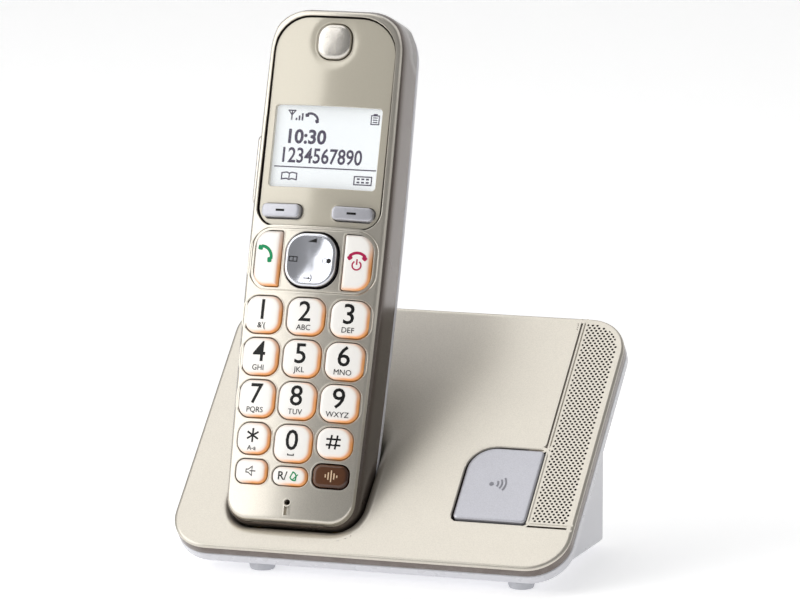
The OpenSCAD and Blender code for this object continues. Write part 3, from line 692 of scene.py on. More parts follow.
def moulded(name, tint, rough, grain, specular=0.5, metal=0.0, scale=2600.0, soft=0.0, coat=0.0,
            glow=0.0):
    """Moulded plastic, rubber or metal with a grained skin."""
    made, tree, shader = start_material(name)
    skin = group_node(tree, "Moulded grain", {
        "Colour": (*tint, 1), "Grain": grain, "Roughness": rough, "Scale": scale})
    worn = group_node(tree, "Edge wear", {"Amount": 0.12})
    rubbed = math_node(tree, "SUBTRACT", skin.outputs["Roughness"], worn.outputs[0], True)
    tree.links.new(skin.outputs["Colour"], shader.inputs["Base Color"])
    tree.links.new(rubbed, shader.inputs["Roughness"])
    tree.links.new(skin.outputs["Normal"], shader.inputs["Normal"])
    shader.inputs["Specular IOR Level"].default_value = specular
    shader.inputs["Metallic"].default_value = metal
    shader.inputs["Coat Weight"].default_value = coat
    if glow:
        shader.inputs["Emission Color"].default_value = (1, 1, 1, 1)
        shader.inputs["Emission Strength"].default_value = glow
    if soft:
        shader.inputs["Subsurface Weight"].default_value = soft
        shader.inputs["Subsurface Scale"].default_value = 0.0015
    return made


def lit_key(name, top, glow, shine):
    """Clear-coated white key, lit from below: the mark turns its sides from white to amber, partly
    backlight and partly painted glow.
    """
    made, tree, shader = start_material(name)
    mark = add(tree, "ShaderNodeAttribute", {"attribute_name": "mark"}).outputs["Fac"]
    tint = add(tree, "ShaderNodeMix", {"data_type": "RGBA"}, {
        "Factor": mark, 6: (*top, 1), 7: (*glow, 1)})
    skin = group_node(tree, "Moulded grain", {
        "Colour": tint.outputs[2], "Grain": 0.05, "Roughness": 0.2, "Scale": 900.0})
    tree.links.new(skin.outputs["Colour"], shader.inputs["Base Color"])
    tree.links.new(skin.outputs["Roughness"], shader.inputs["Roughness"])
    tree.links.new(skin.outputs["Normal"], shader.inputs["Normal"])
    tree.links.new(skin.outputs["Colour"], shader.inputs["Emission Color"])
    shader.inputs["Emission Strength"].default_value = shine
    shader.inputs["Coat Weight"].default_value = 0.4
    shader.inputs["Coat Roughness"].default_value = 0.06
    return made


def screen_face(name, tint):
    """Reflective screen with its light on, its glow partly painted light: rows and columns of faint
    picture cells.
    """
    made, tree, shader = start_material(name)
    place = add(tree, "ShaderNodeTexCoord").outputs["Object"]
    cells = add(tree, "ShaderNodeTexVoronoi", {}, {"Vector": place, "Scale": 2400.0,
                                                   "Randomness": 0.0})
    line = add(tree, "ShaderNodeMapRange", {}, {0: cells.outputs[0], 3: 1.0, 4: 0.965})
    cloud = add(tree, "ShaderNodeTexNoise", {}, {"Vector": place, "Scale": 40.0})
    soft = add(tree, "ShaderNodeMapRange", {}, {0: cloud.outputs[0], 3: 0.98, 4: 1.02})
    factor = math_node(tree, "MULTIPLY", line.outputs[0], soft.outputs[0])
    shown = shade_by(tree, (*tint, 1), factor)
    tree.links.new(shown, shader.inputs["Base Color"])
    tree.links.new(shown, shader.inputs["Emission Color"])
    # Emission: partly the screen's backlight, partly painted light that keeps the screen near white.
    shader.inputs["Emission Strength"].default_value = 0.42
    shader.inputs["Roughness"].default_value = 0.5
    return made


def window_pane(name):
    """Clear pane: nearly all of it lets the screen through, and its gloss stays."""
    made, tree, shader = start_material(name)
    shader.inputs["Base Color"].default_value = (1, 1, 1, 1)
    shader.inputs["Roughness"].default_value = 0.03
    shader.inputs["Alpha"].default_value = 0.1
    return made


def printed(name, tint, rough=0.45):
    """Printed ink, slightly uneven."""
    return moulded(name, tint, rough, 0.05, 0.3, scale=1500.0)


def material(finish):
    """The material of a finish, made the first time that it is asked for."""
    name = finish + "_finish"
    found = bpy.data.materials.get(name)
    if found:
        return found
    c = bpy.context.scene.desk_phone_colours
    makers = {
        "champagne": lambda n: lacquer(n, c.champagne, 0.3, 0.12, 0.85),
        "champagne_plate": lambda n: lacquer(n, c.champagne, 0.3, 0.12, 0.72),
        "champagne_inner": lambda n: lacquer(n, tone(190, 184, 172), 0.4, 0.10, 0.5),
        "panel_gloss": lambda n: lacquer(n, c.panel, 0.14, 0.04, 0.22, 0.03, 0.6),
        # band: the champagne lacquer painted darker, as shade on the edge bands and groove floors.
        "band": lambda n: lacquer(n, c.band, 0.26, 0.08, 0.8, 0.05, 0.4),
        # Painted shade: a dark sheet laid on the walls and floors of gaps and holes.
        "dark_gap": lambda n: moulded(n, tone(48, 38, 36), 0.6, 0.1, 0.2),
        "white_shell": lambda n: moulded(n, c.white, 0.3, 0.12, 0.5, coat=0.15),
        "white_underside": lambda n: moulded(n, tone(204, 204, 210), 0.5, 0.35, 0.4),
        "silver": lambda n: lacquer(n, tone(216, 211, 203), 0.26, 0.12, 0.9),
        "silver_soft": lambda n: lacquer(n, tone(200, 200, 207), 0.38, 0.14, 0.5),
        "nav_silver": lambda n: lacquer(n, tone(226, 228, 236), 0.16, 0.03, 0.95, 0.03, 0.6),
        "key_white": lambda n: lit_key(n, c.key_white, c.key_glow, 0.12),
        # The brown key's sides take a darker colour as painted shade instead of a glow.
        "key_brown": lambda n: lit_key(n, c.key_brown, tone(60, 30, 16), 0.0),
        "screen": lambda n: screen_face(n, c.screen),
        "screen_ink": lambda n: printed(n, c.ink),
        "pane": window_pane,
        "print_black": lambda n: printed(n, c.print_black),
        "print_green": lambda n: printed(n, c.green),
        "print_red": lambda n: printed(n, c.red),
        "print_pale": lambda n: printed(n, tone(235, 205, 170)),
        "black_plastic": lambda n: moulded(n, tone(38, 38, 40), 0.42, 0.3),
        "rubber": lambda n: moulded(n, tone(196, 197, 202), 0.75, 0.6, 0.3, scale=1800.0),
        "steel": lambda n: moulded(n, tone(176, 178, 182), 0.3, 0.1, metal=1.0),
        "gold": lambda n: moulded(n, tone(226, 178, 92), 0.24, 0.08, metal=1.0),
        "tin": lambda n: moulded(n, tone(196, 198, 200), 0.36, 0.2, metal=1.0),
        "board": lambda n: moulded(n, tone(28, 92, 52), 0.4, 0.3, scale=900.0),
        "silicone": lambda n: moulded(n, tone(216, 214, 206), 0.55, 0.2, soft=0.3),
        "mark_grey": lambda n: printed(n, tone(150, 150, 158)),
        "table": lambda n: moulded(n, tone(250, 250, 250), 0.6, 0.1, 0.2, scale=300.0, glow=0.42),
        "cell_sleeve": lambda n: moulded(n, tone(44, 132, 84), 0.3, 0.08, coat=0.3),
    }
    return makers[finish](name)


# ---- Outlines of this phone ----------------------------------------------------------------

def front_outline():
    """Corner circles of the handset seen from the front: narrower at its foot."""
    foot, head = FOOT_W / 2 - FOOT_R, TOP_W / 2 - HEAD_R
    return np.array([[foot, FOOT_R, FOOT_R], [head, LENGTH - HEAD_R, HEAD_R],
                     [-head, LENGTH - HEAD_R, HEAD_R], [-foot, FOOT_R, FOOT_R]])


def ends_in(circles, low, high):
    """The same corner circles with the lower pair moved up and the upper pair moved down."""
    return circles + np.array([[0, low, 0], [0, -high, 0], [0, -high, 0], [0, low, 0]])


def key_outline(node, radius):
    """Corner circles of a key, from the part of its CAD node that stands above the flange."""
    low, high = HANDSET.box(node, above=-3)
    centre = (low + high) / 2
    return box_corners(high[0] - low[0], high[1] - low[1], radius, centre[:2])


def face(x, y):
    """Height of the handset's front face."""
    return -fall(x)


DIGITS = {"key_1": "1", "key_2": "2", "key_3": "3", "key_4": "4", "key_5": "5", "key_6": "6",
          "key_7": "7", "key_8": "8", "key_9": "9", "key_star": "*", "key_0": "0",
          "key_hash": "#"}
LETTERS = {"key_2": "ABC", "key_3": "DEF", "key_4": "GHI", "key_5": "JKL", "key_6": "MNO",
           "key_7": "PQRS", "key_8": "TUV", "key_9": "WXYZ"}
RADII = {**{name: 4.0 for name in DIGITS}, "key_speakerphone": 2.8, "key_recall": 2.8,
         "key_noise_reduction": 2.8, "nav_key": 6.6, "key_talk": (0.5, 0.5, 4.6, 4.6),
         "key_off": (4.6, 4.6, 0.5, 0.5)}
SOFT_KEYS = ("softkey_left", "softkey_right")
KEY_SMOOTH = 50                                # Degrees up to which a key is shaded softly


def panel_outline():
    """Corner circles of the glossy panel."""
    low, high = HANDSET.box("display_panel")
    middle = [(low[0] + high[0]) / 2, (low[1] + high[1]) / 2]
    return box_corners(high[0] - low[0], high[1] - low[1], (6, 12, 12, 6), middle)


def window_outline(extra=0.0):
    """Corner circles of the window."""
    low, high = HANDSET.box("display_window")
    centre = (low + high) / 2
    size = high - low + 2 * extra
    return box_corners(size[0], size[1], 1.2 + extra, centre[:2])


def ear_outline():
    """Corner circles of the earpiece cap."""
    low, high = HANDSET.box("earpiece_cap")
    centre = (low + high) / 2
    return box_corners(high[0] - low[0], high[1] - low[1], 4.6, centre[:2])


NAV_GAP = 0.75                                 # Between the navigation key and its opening
PANEL_GAP = 0.5                                # Between the panel and the front
PANEL_IN, FACE_IN = 0.7, 1.95                  # Where the flat parts start, from their outlines
SOFT_R = 1.5                                   # Corner radius of a soft key
MIC = (0.0, 8.0)                               # Middle of the microphone hole
FOOT_IN = 1.7                                  # Edge at the lower end, against the sides'
SIDE = ((0, -9, 0), (0, -7, 0), (0.12, -5.6, 0), (0.45, -4.5, 0), (0.8, -3.9, 0))
RIM = ((0.8, -3.9, 0), (1.0, -1.3, 0.8), (1.16, -0.42, 1), (1.3, -0.2, 1), (1.55, -0.05, 1),
       (1.8, 0.015, 1), (2.2, -0.01, 1))


def waist(start):
    """The handset's sides swell a little at its middle and draw in at its head: a parabola in y
    moves them, all of it at the sides and none of it nearer the middle than `start`."""
    def bend(points):
        x, y, z = np.moveaxis(points, -1, 0)
        half = (FOOT_W + (TOP_W - FOOT_W) * y / LENGTH) / 2
        share = np.clip((np.abs(x) - start) / (half - start), 0, 1)
        swell = SWELL * y - SWELL_FALL * y ** 2
        return np.stack([x + np.sign(x) * share * swell, y, z], -1)
    return bend


def body_rings(profile, along=24):
    """The handset's outline carried through (inset, depth, share of the face's fall)."""
    rings = []
    for inset, z, follow in profile:
        circles = ends_in(front_outline(), inset * (FOOT_IN - 1), inset * 0.25)
        xy = outline(circles, inset, 10, along)
        rings.append(np.column_stack([xy, z - follow * fall(xy[:, 0])]))
    return np.array(rings)


# ---- Operators -----------------------------------------------------------------------------

class HandsetFront(bpy.types.Operator):
    """Build the handset's champagne front, its side band painted dark as shade, and its openings"""
    bl_idname = "deskphone.handset_front"
    bl_label = "Handset front"

    def execute(self, context):
        gap = mm(sizes().key_gap)
        shell = Piece("handset_front_shell", HANDSET, "handset")
        shell.bend = waist(20.5)
        # The side band's darker lacquer is painted shade.
        shell.loft(body_rings(((1.2, -SPLIT, 0), (0.25, -SPLIT, 0), (0, -SPLIT + 0.3, 0)) + SIDE),
                   "band")
        shell.loft(body_rings(RIM), "champagne")
        keys = [(key_outline(name, radius), NAV_GAP if name == "nav_key" else gap)
                for name, radius in RADII.items()]
        mic = box_corners(1.81, 1.81, 0.9, MIC)
        frame_line = box_corners(43.0, 20.8, 6.8, (0, self.call_row()))
        openings = [lambda x, y, c=c, g=g: distance(c, x, y) - g - 0.02 for c, g in keys]
        openings.append(lambda x, y: distance(panel_outline(), x, y) - PANEL_GAP - 0.02)
        openings.append(lambda x, y: distance(mic, x, y) - 0.05)
        openings.append(lambda x, y: np.maximum(np.abs(x) - 0.8, y - MIC[1]))
        openings.append(lambda x, y: np.abs(distance(frame_line, x, y)) - 0.3)
        inner = ends_in(front_outline(), FACE_IN * (FOOT_IN - 1), 0.49)
        points, keep = sheet(inner, FACE_IN, FACE_CELL, face, openings)
        shell.grid(points, "champagne", keep)
        for circles, wide in keys + [(panel_outline(), PANEL_GAP)]:
            shell.loft(lip(circles, wide, 0.3, face), "champagne")
            # The walls and floor of each opening are painted shade.
            wall = [(-wide, -0.3), (-wide, -2.6), (1.2, -2.7)]
            shell.loft(sections(circles, wall, 8, 4, face), "dark_gap")
        shell.loft(lip(mic, 0.0, 2.5, face), "champagne")
        # The floor of the microphone hole is painted shade.
        shell.loft(closed(sections(mic, [(0.0, -2.5), (0.5, -2.5)])), "dark_gap")
        groove = [(-1.35, -0.01), (-1.15, 0.02), (-0.9, 0.02), (-0.8, -0.08), (-0.72, -1.0),
                  (0.3, -1.0), (0.72, -0.5), (0.8, -0.08), (0.9, 0.02), (1.15, 0.02),
                  (1.35, -0.01)]
        path = curve((0, 3.3), (0, 5.0), (0, MIC[1] - 0.7))
        shell.grid(ribbon(path, groove, height=face), "champagne")
        line = [(-0.9, -0.01), (-0.75, 0.03), (-0.36, 0.05), (-0.2, -0.05), (-0.14, -0.45),
                (0.14, -0.45), (0.2, -0.05), (0.36, 0.05), (0.75, 0.03), (0.9, -0.01)]
        path = outline(frame_line, 0, 10, 8)
        shell.loft(ribbon(path, line, True, face), "champagne")
        shell.make(replaces=("handset_front_cover",))
        return {"FINISHED"}

    def call_row(self):
        """Height of the row of call keys."""
        low, high = HANDSET.box("nav_key", above=-3)
        return (low[1] + high[1]) / 2


class HandsetBack(bpy.types.Operator):
    """Build the handset's white back with its battery bay, screw holes and sound holes"""
    bl_idname = "deskphone.handset_back"
    bl_label = "Handset back"

    def execute(self, context):
        shell = Piece("handset_back_shell", HANDSET, "handset")
        shell.bend = waist(16.5)
        seam = DEPTH - SPLIT
        flipped = front_outline()[[3, 2, 1, 0]] * [-1, 1, 1]
        bend = np.radians(np.linspace(0, 90, 9))
        profile = [(1.2, -seam, 0.2), (0.3, -seam, 0.0), (0.1, 0.3 - seam, 0.0)]
        profile += [(7 - 7 * math.cos(a), -7 + 7 * math.sin(a), a / bend[-1]) for a in bend]
        rings = []
        for inset, z, share in profile + [(7.8, 0.0, 1.0)]:
            circles = ends_in(flipped, 2 * share, 2 * share)
            xy = outline(circles, inset, 10, 24)
            rings.append(np.column_stack([xy, np.full(len(xy), z)]))
        shell.loft(np.array(rings), "white_shell", axes=BACK)
        low, high = BACK.box("battery_cover", above=-1)
        lid = box_corners(high[0] - low[0], high[1] - low[1], 1.5,
                          ((low[0] + high[0]) / 2, (low[1] + high[1]) / 2))
        screws = self.places("handset_screws")
        holes = [box_corners(1.61, 1.61, 0.8, (4.0 * i, LENGTH - SOUND_DOWN)) for i in range(-2, 3)]
        wells = [box_corners(SCREW_WELL, SCREW_WELL, 2.6, place) for place in screws]
        rounds = holes + wells
        openings = [lambda x, y, c=c: distance(c, x, y) - 0.05 for c in rounds]
        openings.append(lambda x, y: distance(lid, x, y) - 0.3)

        def level(x, y):
            return np.full(x.shape, -0.02)
        points, keep = sheet(ends_in(flipped, 2, 2), 7.2, BACK_CELL, level, openings)
        shell.grid(points, "white_shell", keep, axes=BACK)
        edge = [(0.8, -0.03), (0.5, 0.0), (0.3, 0.0), (0.12, -0.05), (0.0, -0.2)]
        for circles in rounds:
            deep = 2.6 if circles[:, 2].max() < 1 else 6.0
            shell.loft(lip(circles, 0.0, deep, None, 8, 1, edge), "white_shell", axes=BACK)
            # The floors of the holes are painted shade.
            floor = closed(sections(circles, [(0.0, -deep), (0.3, -deep)]))
            shell.loft(floor, "dark_gap", axes=BACK)
        bay = box_corners(BAY_W, high[1] - low[1] - 1, 1.0, lid[:, :2].mean(0))
        ledge = sections(lid, [(-0.3, -2.3), (0.2, -2.35)], 8, 4)
        shell.loft(lip(lid, 0.3, 2.3, profile=edge), "white_shell", axes=BACK)
        inside = np.concatenate([ledge, sections(bay, [(0.0, -2.35), (0.1, -12.6)], 8, 4)])
        shell.loft(closed(inside), "white_underside", axes=BACK)
        shell.make(replaces=("handset_rear_cover",))
        return {"FINISHED"}

    def places(self, node):
        """Middles of a node's separate solids, seen from the back."""
        low, high = BACK.box(node)
        x, y = (high[0] - 2.3), (low[1] + 2.3, high[1] - 2.3)
        return [(side * x, end) for side in (-1, 1) for end in y]


class BatteryCover(bpy.types.Operator):
    """Build the battery cover with its finger ridges, snap tongue and rib"""
    bl_idname = "deskphone.battery_cover"
    bl_label = "Battery cover"

    def execute(self, context):
        low, high = BACK.box("battery_cover", above=-1)
        width, height = high[0] - low[0], high[1] - low[1]
        middle = ((low[0] + high[0]) / 2, (low[1] + high[1]) / 2)
        cover = Piece("battery_cover_shell", BACK, "battery_cover")
        circles = box_corners(width, height, 1.5, middle)
        profile = [(0.3, -2.0), (0.0, -1.8), (0.0, -0.35), (0.1, -0.12), (0.35, 0.0), (0.8, 0.0)]
        cover.loft(pillow(circles, profile, 0.0, True), "white_shell")
        for i in range(5):
            ridge = box_corners(12 - 1.6 * i, 0.8, 0.39, (middle[0], high[1] - 6 - 2.0 * i))
            cover.loft(pillow(ridge, [(0, -0.1), (0, 0.12), (0.15, 0.22)]), "white_shell")
        tongue = box_corners(6, 1.2, 0.2, (middle[0], high[1] - 2.4))
        cover.loft(pillow(tongue, [(0.2, -4.0), (0, -3.8), (0, -1.9)], bottom=True), "white_shell")
        rib = box_corners(2.4, 1.4, 0.2, (middle[0], low[1] + 0.9))
        cover.loft(pillow(rib, [(0.2, -3.6), (0, -3.4), (0, -1.9)], bottom=True), "white_shell")
        cover.make(replaces=("battery_cover",))
        return {"FINISHED"}


class Display(bpy.types.Operator):
    """Build the glossy panel, the earpiece in its dish, the screen with its marks and the pane"""
    bl_idname = "deskphone.display"
    bl_label = "Display"

    def execute(self, context):
        self.depth = mm(sizes().panel_depth)
        self.ear = ear_outline()
        self.ear_middle = self.ear[:, :2].mean(0)
        self.build_panel()
        self.build_earpiece()
        self.build_screen()
        return {"FINISHED"}

    def panel_height(self, x, y):
        """Face of the panel: parallel to the handset's, with a round dish about the earpiece,
        its depth one half of 1 + cos(pi r / R)."""
        r = np.hypot(x - self.ear_middle[0], y - self.ear_middle[1])
        dish = DISH_DEEP * 0.5 * (1 + np.cos(np.pi * np.clip(r / DISH_R, 0, 1)))
        return -fall(x) - self.depth - dish

    def build_panel(self):
        """The panel's sheet with the openings for both soft keys, the window and the earpiece."""
        gap = mm(sizes().key_gap)
        panel = Piece("display_panel_skin", HANDSET, "handset")
        edge = [(0.0, -0.6), (0.0, -0.15), (0.12, 0.0), (0.5, 0.02), (1.1, -0.01)]
        panel.loft(sections(panel_outline(), edge, 10, 8, self.panel_height), "panel_gloss")
        soft = [key_outline(name, SOFT_R + 0.1) for name in SOFT_KEYS]
        window = window_outline()
        openings = [lambda x, y, c=c: distance(c, x, y) - gap - 0.02 for c in soft]
        openings.append(lambda x, y: distance(window, x, y) - 0.02)
        openings.append(lambda x, y: distance(self.ear, x, y) - 0.4)
        points, keep = sheet(panel_outline(), PANEL_IN, FACE_CELL, self.panel_height, openings)
        panel.grid(points, "panel_gloss", keep)
        for circles in soft:
            panel.loft(lip(circles, gap, 1.6, self.panel_height), "panel_gloss")
            # The floors round the soft keys are painted shade.
            floor = sections(circles, [(-gap, -1.6), (1.0, -1.7)], 8, 4, self.panel_height)
            panel.loft(floor, "dark_gap")
        deep = mm(sizes().screen_depth)
        panel.loft(lip(window, 0.0, deep, self.panel_height), "panel_gloss")
        panel.loft(lip(self.ear, 0.35, 1.6, self.panel_height), "panel_gloss")
        # The floor round the earpiece cap is painted shade.
        floor = closed(sections(self.ear, [(-0.35, -1.6), (0.0, -1.7)], 8, 4, self.panel_height))
        panel.loft(floor, "dark_gap")
        panel.make(replaces=("display_panel",))

    def build_earpiece(self):
        """The silver cap in its dish."""
        cap = Piece("earpiece_button", HANDSET, "handset")
        level = -self.depth - DISH_DEEP
        profile = [(0, level - 1.0), (0, level + 1.1), (0.15, level + 1.5), (0.5, level + 1.8),
                   (1.1, level + 2.0), (2.0, level + 2.1)]
        cap.loft(pillow(self.ear, profile, 0.15, steps=10), "silver")
        cap.make(replaces=("earpiece_cap",))

    def build_screen(self):
        """The screen with its marks, and the clear pane over it."""
        low, high = HANDSET.box("display_window")
        middle = (low + high) / 2
        level = -fall(high[0]) - self.depth - mm(sizes().screen_depth) - 0.1
        screen = Piece("screen", HANDSET, "handset")
        frame_box = window_outline(0.6)
        rim = sections(frame_box, [(0, level - 1.0), (0, level), (1.0, level)], 8, 4)
        screen.loft(closed(rim), "screen")

        def at(x, y):
            return middle[0] + (x - 0.5) * (high[0] - low[0]), high[1] - y * (high[1] - low[1])
        for flat, faces in self.marks(at):
            screen.flat(np.column_stack([flat, np.full(len(flat), level + 0.05)]), faces,
                        "screen_ink")
        screen.make()
        pane = Piece("window_pane", HANDSET, "handset")
        points, keep = sheet(window_outline(0.2), 0.0, 1.0,
                             lambda x, y: self.panel_height(x, y) - 0.12)
        pane.grid(points, "pane", keep)
        pane.make(replaces=("display_window",))

    def marks(self, at):
        """Printed marks, each as flat points and faces. at(x, y) turns shares of the window's
        width and height, from its upper left, into places."""
        found = []
        x, y = at(0.14, 0.115)
        found.append(stroke([(0, -1.6), (0, 1.5)], 0.42, x, y))
        found.append(stroke([(-1.2, 1.6), (0, 0.1), (1.2, 1.6)], 0.4, x, y))
        found.append(stroke([(-1.4, 1.6), (1.4, 1.6)], 0.4, x, y))
        for i in range(3):
            x, y = at(0.185 + 0.028 * i, 0.175)
            tall = 0.8 + 0.8 * i
            found.append(patch([(-0.3, 0), (0.3, 0), (0.3, tall), (-0.3, tall)], x, y))
        found.append(receiver(5.0, *at(0.34, 0.125), lean=-28))
        x, y = at(0.925, 0.125)
        tall = [(-1.35, -1.6), (1.35, -1.6), (1.35, 1.3), (-1.35, 1.3)]
        found.append(stroke(tall, 0.36, x, y, True))
        found.append(patch([(-0.7, 1.3), (0.7, 1.3), (0.7, 1.9), (-0.7, 1.9)], x, y))
        for i in range(3):
            found.append(stroke([(-0.8, -0.9 + 0.75 * i), (0.8, -0.9 + 0.75 * i)], 0.34, x, y))
        found.append(letters("10:30", 4.4, *at(0.29, 0.37), bold=0.03))
        found.append(letters("1234567890", 4.8, *at(0.45, 0.6), bold=0.016, narrow=0.82))
        found.append(stroke([at(0.02, 0.745), at(0.98, 0.745)], 0.4))
        x, y = at(0.17, 0.855)
        for side in (-1, 1):
            leaf = [(0, -1.3), (side * 0.9, -0.9), (side * 2.6, -1.2), (side * 2.6, 0.9),
                    (side * 0.9, 1.2), (0, 0.8)]
            found.append(stroke(leaf, 0.42, x, y))
        found.append(stroke([(0, -1.3), (0, 0.9)], 0.4, x, y))
        x, y = at(0.865, 0.875)
        found.append(stroke([(-3.0, -1.35), (3.0, -1.35), (3.0, 1.35), (-3.0, 1.35)], 0.4, x, y, True))
        for row in (-0.55, 0.55):
            for column in (-1.6, 0.0, 1.6):
                found.append(patch([(-0.5, -0.28), (0.5, -0.28), (0.5, 0.28), (-0.5, 0.28)],
                                   x + column, y + row))
        return found


class Keys(bpy.types.Operator):
    """Build the white keys, the brown key and the soft keys, each with its printed marks"""
    bl_idname = "deskphone.keys"
    bl_label = "Keys"

    def execute(self, context):
        for name, radius in RADII.items():
            if name != "nav_key":
                self.build_key(name, radius)
        for name in SOFT_KEYS:
            self.build_soft_key(name)
        return {"FINISHED"}

    def build_key(self, name, radius):
        """One key: an outline carried up a rounded edge, with a low dome of 1 - s squared."""
        edge = mm(sizes().key_edge)
        dome = mm(sizes().key_dome)
        circles = key_outline(name, radius)
        low, high = HANDSET.box(name, above=-3)
        top = high[2] + fall((low[0] + high[0]) / 2)
        levels = [(0.0, top - 1.9, 1.0), (0.0, top - 1.15, 1.0), (edge * 0.3, top - 0.7, 1.0),
                  (edge * 0.75, top - 0.32, 0.9), (edge * 1.25, top - 0.09, 0.4),
                  (edge * 1.9, top, 0.1), (edge * 3, top + 0.03, 0.0)]
        finish = "key_brown" if name == "key_noise_reduction" else "key_white"
        rings = sections(circles, [(-0.3, -2.2)] + [level[:2] for level in levels], 10, 3, face)
        rings = closed(rings, False, True, dome, 5, face)
        marks = np.zeros(rings.shape[:2])
        marks[0] = 1.0
        marks[1:1 + len(levels)] = np.array([level[2] for level in levels])[:, None]
        # The mark blends in painted glow on the white keys' sides and painted shade on the brown key's,
        # strongest to the right and below.
        marks *= self.painted_side_light(rings, (low + high) / 2)
        key = Piece(name + "_cap", HANDSET, name)
        key.loft(rings, finish, marks)
        key.make(KEY_SMOOTH, (name,))
        middle = (low + high) / 2
        self.build_marks(name, middle[0], middle[1], top + 0.03 + dome)

    def painted_side_light(self, rings, middle):
        """How strongly each part of a key's edge takes its side colour, most to the right and below:
        painted glow on the white keys and painted shade on the brown key.
        """
        away = rings[..., :2] - middle[:2]
        toward = (0.8 * away[..., 0] - 0.6 * away[..., 1]) / np.linalg.norm(away + 1e-6, axis=-1)
        return np.clip(0.42 + 0.75 * toward, 0.06, 1.0)

    def build_marks(self, name, x, y, top):
        """Printed marks of a key, laid a little above its domed top."""
        legend = Piece(name + "_print", HANDSET, name)
        for (flat, faces), finish in self.marks(name, x, y):
            legend.flat(pressed(flat, face, top + 0.02), faces, finish)
        if legend.points:
            legend.make()

    def marks(self, name, x, y):
        """The marks of one key and the ink of each."""
        ink = "print_black"
        if name in LETTERS:
            yield letters(DIGITS[name], 6.4, x, y + 1.6, 0.008), ink
            yield letters(LETTERS[name], 1.75, x, y - 3.7), ink
        elif name == "key_1":
            yield letters("1", 6.4, x, y + 1.6, 0.008), ink
            yield letters("&'(", 1.75, x, y - 3.6, 0.008), ink
        elif name == "key_0":
            yield letters("0", 6.4, x, y + 1.1, 0.008), ink
            yield stroke([(-1.0, 0.4), (-1.0, -0.1), (1.0, -0.1), (1.0, 0.4)], 0.32, x, y - 3.8), ink
        elif name == "key_star":
            for turn in range(3):
                a = math.radians(30 + 60 * turn)
                arm = (2.3 * math.cos(a), 2.3 * math.sin(a))
                yield stroke([(-arm[0], -arm[1]), arm], 0.62, x, y + 0.9), ink
            yield letters("A-a", 1.5, x, y - 3.2, 0.006), ink
        elif name == "key_hash":
            for offset in (-0.95, 0.95):
                yield stroke([(offset - 0.3, -2.3), (offset + 0.3, 2.3)], 0.6, x, y + 0.3), ink
                yield stroke([(-2.4, offset), (2.4, offset)], 0.6, x, y + 0.3), ink
        elif name == "key_speakerphone":
            box = [(-1.5, -0.5), (-0.7, -0.5), (0.6, -1.5), (0.6, 1.5), (-0.7, 0.5), (-1.5, 0.5)]
            yield stroke(box, 0.32, x, y, True), ink
            yield stroke([(-0.2, 0), (1.9, 0)], 0.34, x, y), ink
        elif name == "key_recall":
            yield letters("R/", 2.6, x - 2.2, y, 0.012), ink
            leaf = curve((1.1, 0.0, 1.5, 200, 290), (0.1, -0.3, 1.6, -20, 75))
            yield stroke(leaf, 0.42, x + 0.9, y + 0.1, True), "print_green"
            yield stroke([(-0.6, -1.4), (1.3, 0.5)], 0.34, x + 1.9, y + 0.1), "print_green"
        elif name == "key_noise_reduction":
            for i, tall in enumerate((0.5, 1.2, 1.9, 1.0, 0.4)):
                yield stroke([(0, -tall), (0, tall)], 0.4, x + 0.6 + (i - 2) * 0.95, y), "print_pale"
        elif name == "key_talk":
            yield receiver(6.6, x - 0.1, y + 1.9, -48), "print_green"
        elif name == "key_off":
            yield receiver(6.0, x + 0.2, y + 2.2), "print_red"
            ring_path = curve((0, 0, 1.45, 122, 418), steps=26)
            yield stroke(ring_path, 0.5, x + 0.2, y - 0.9), "print_red"
            yield stroke([(0, 0.2), (0, 2.1)], 0.5, x + 0.2, y - 0.9), "print_red"

    def build_soft_key(self, name):
        """One soft key with its dash."""
        circles = key_outline(name, SOFT_R)
        low, high = HANDSET.box(name, above=-3)
        top = high[2] + fall((low[0] + high[0]) / 2)
        profile = [(-0.1, -2.6), (0, top - 1.6), (0, top - 0.5), (0.12, top - 0.18),
                   (0.4, top - 0.02), (0.9, top)]
        key = Piece(name + "_cap", HANDSET, name)
        key.loft(pillow(circles, profile, 0.02, steps=8, along=4, height=face), "silver_soft")
        dash, faces = stroke(curve((-1.55, 0), (1.55, 0)), 0.75, *((low + high) / 2)[:2])
        key.flat(pressed(dash, face, top + 0.05), faces, "print_black")
        key.make(KEY_SMOOTH, (name,))


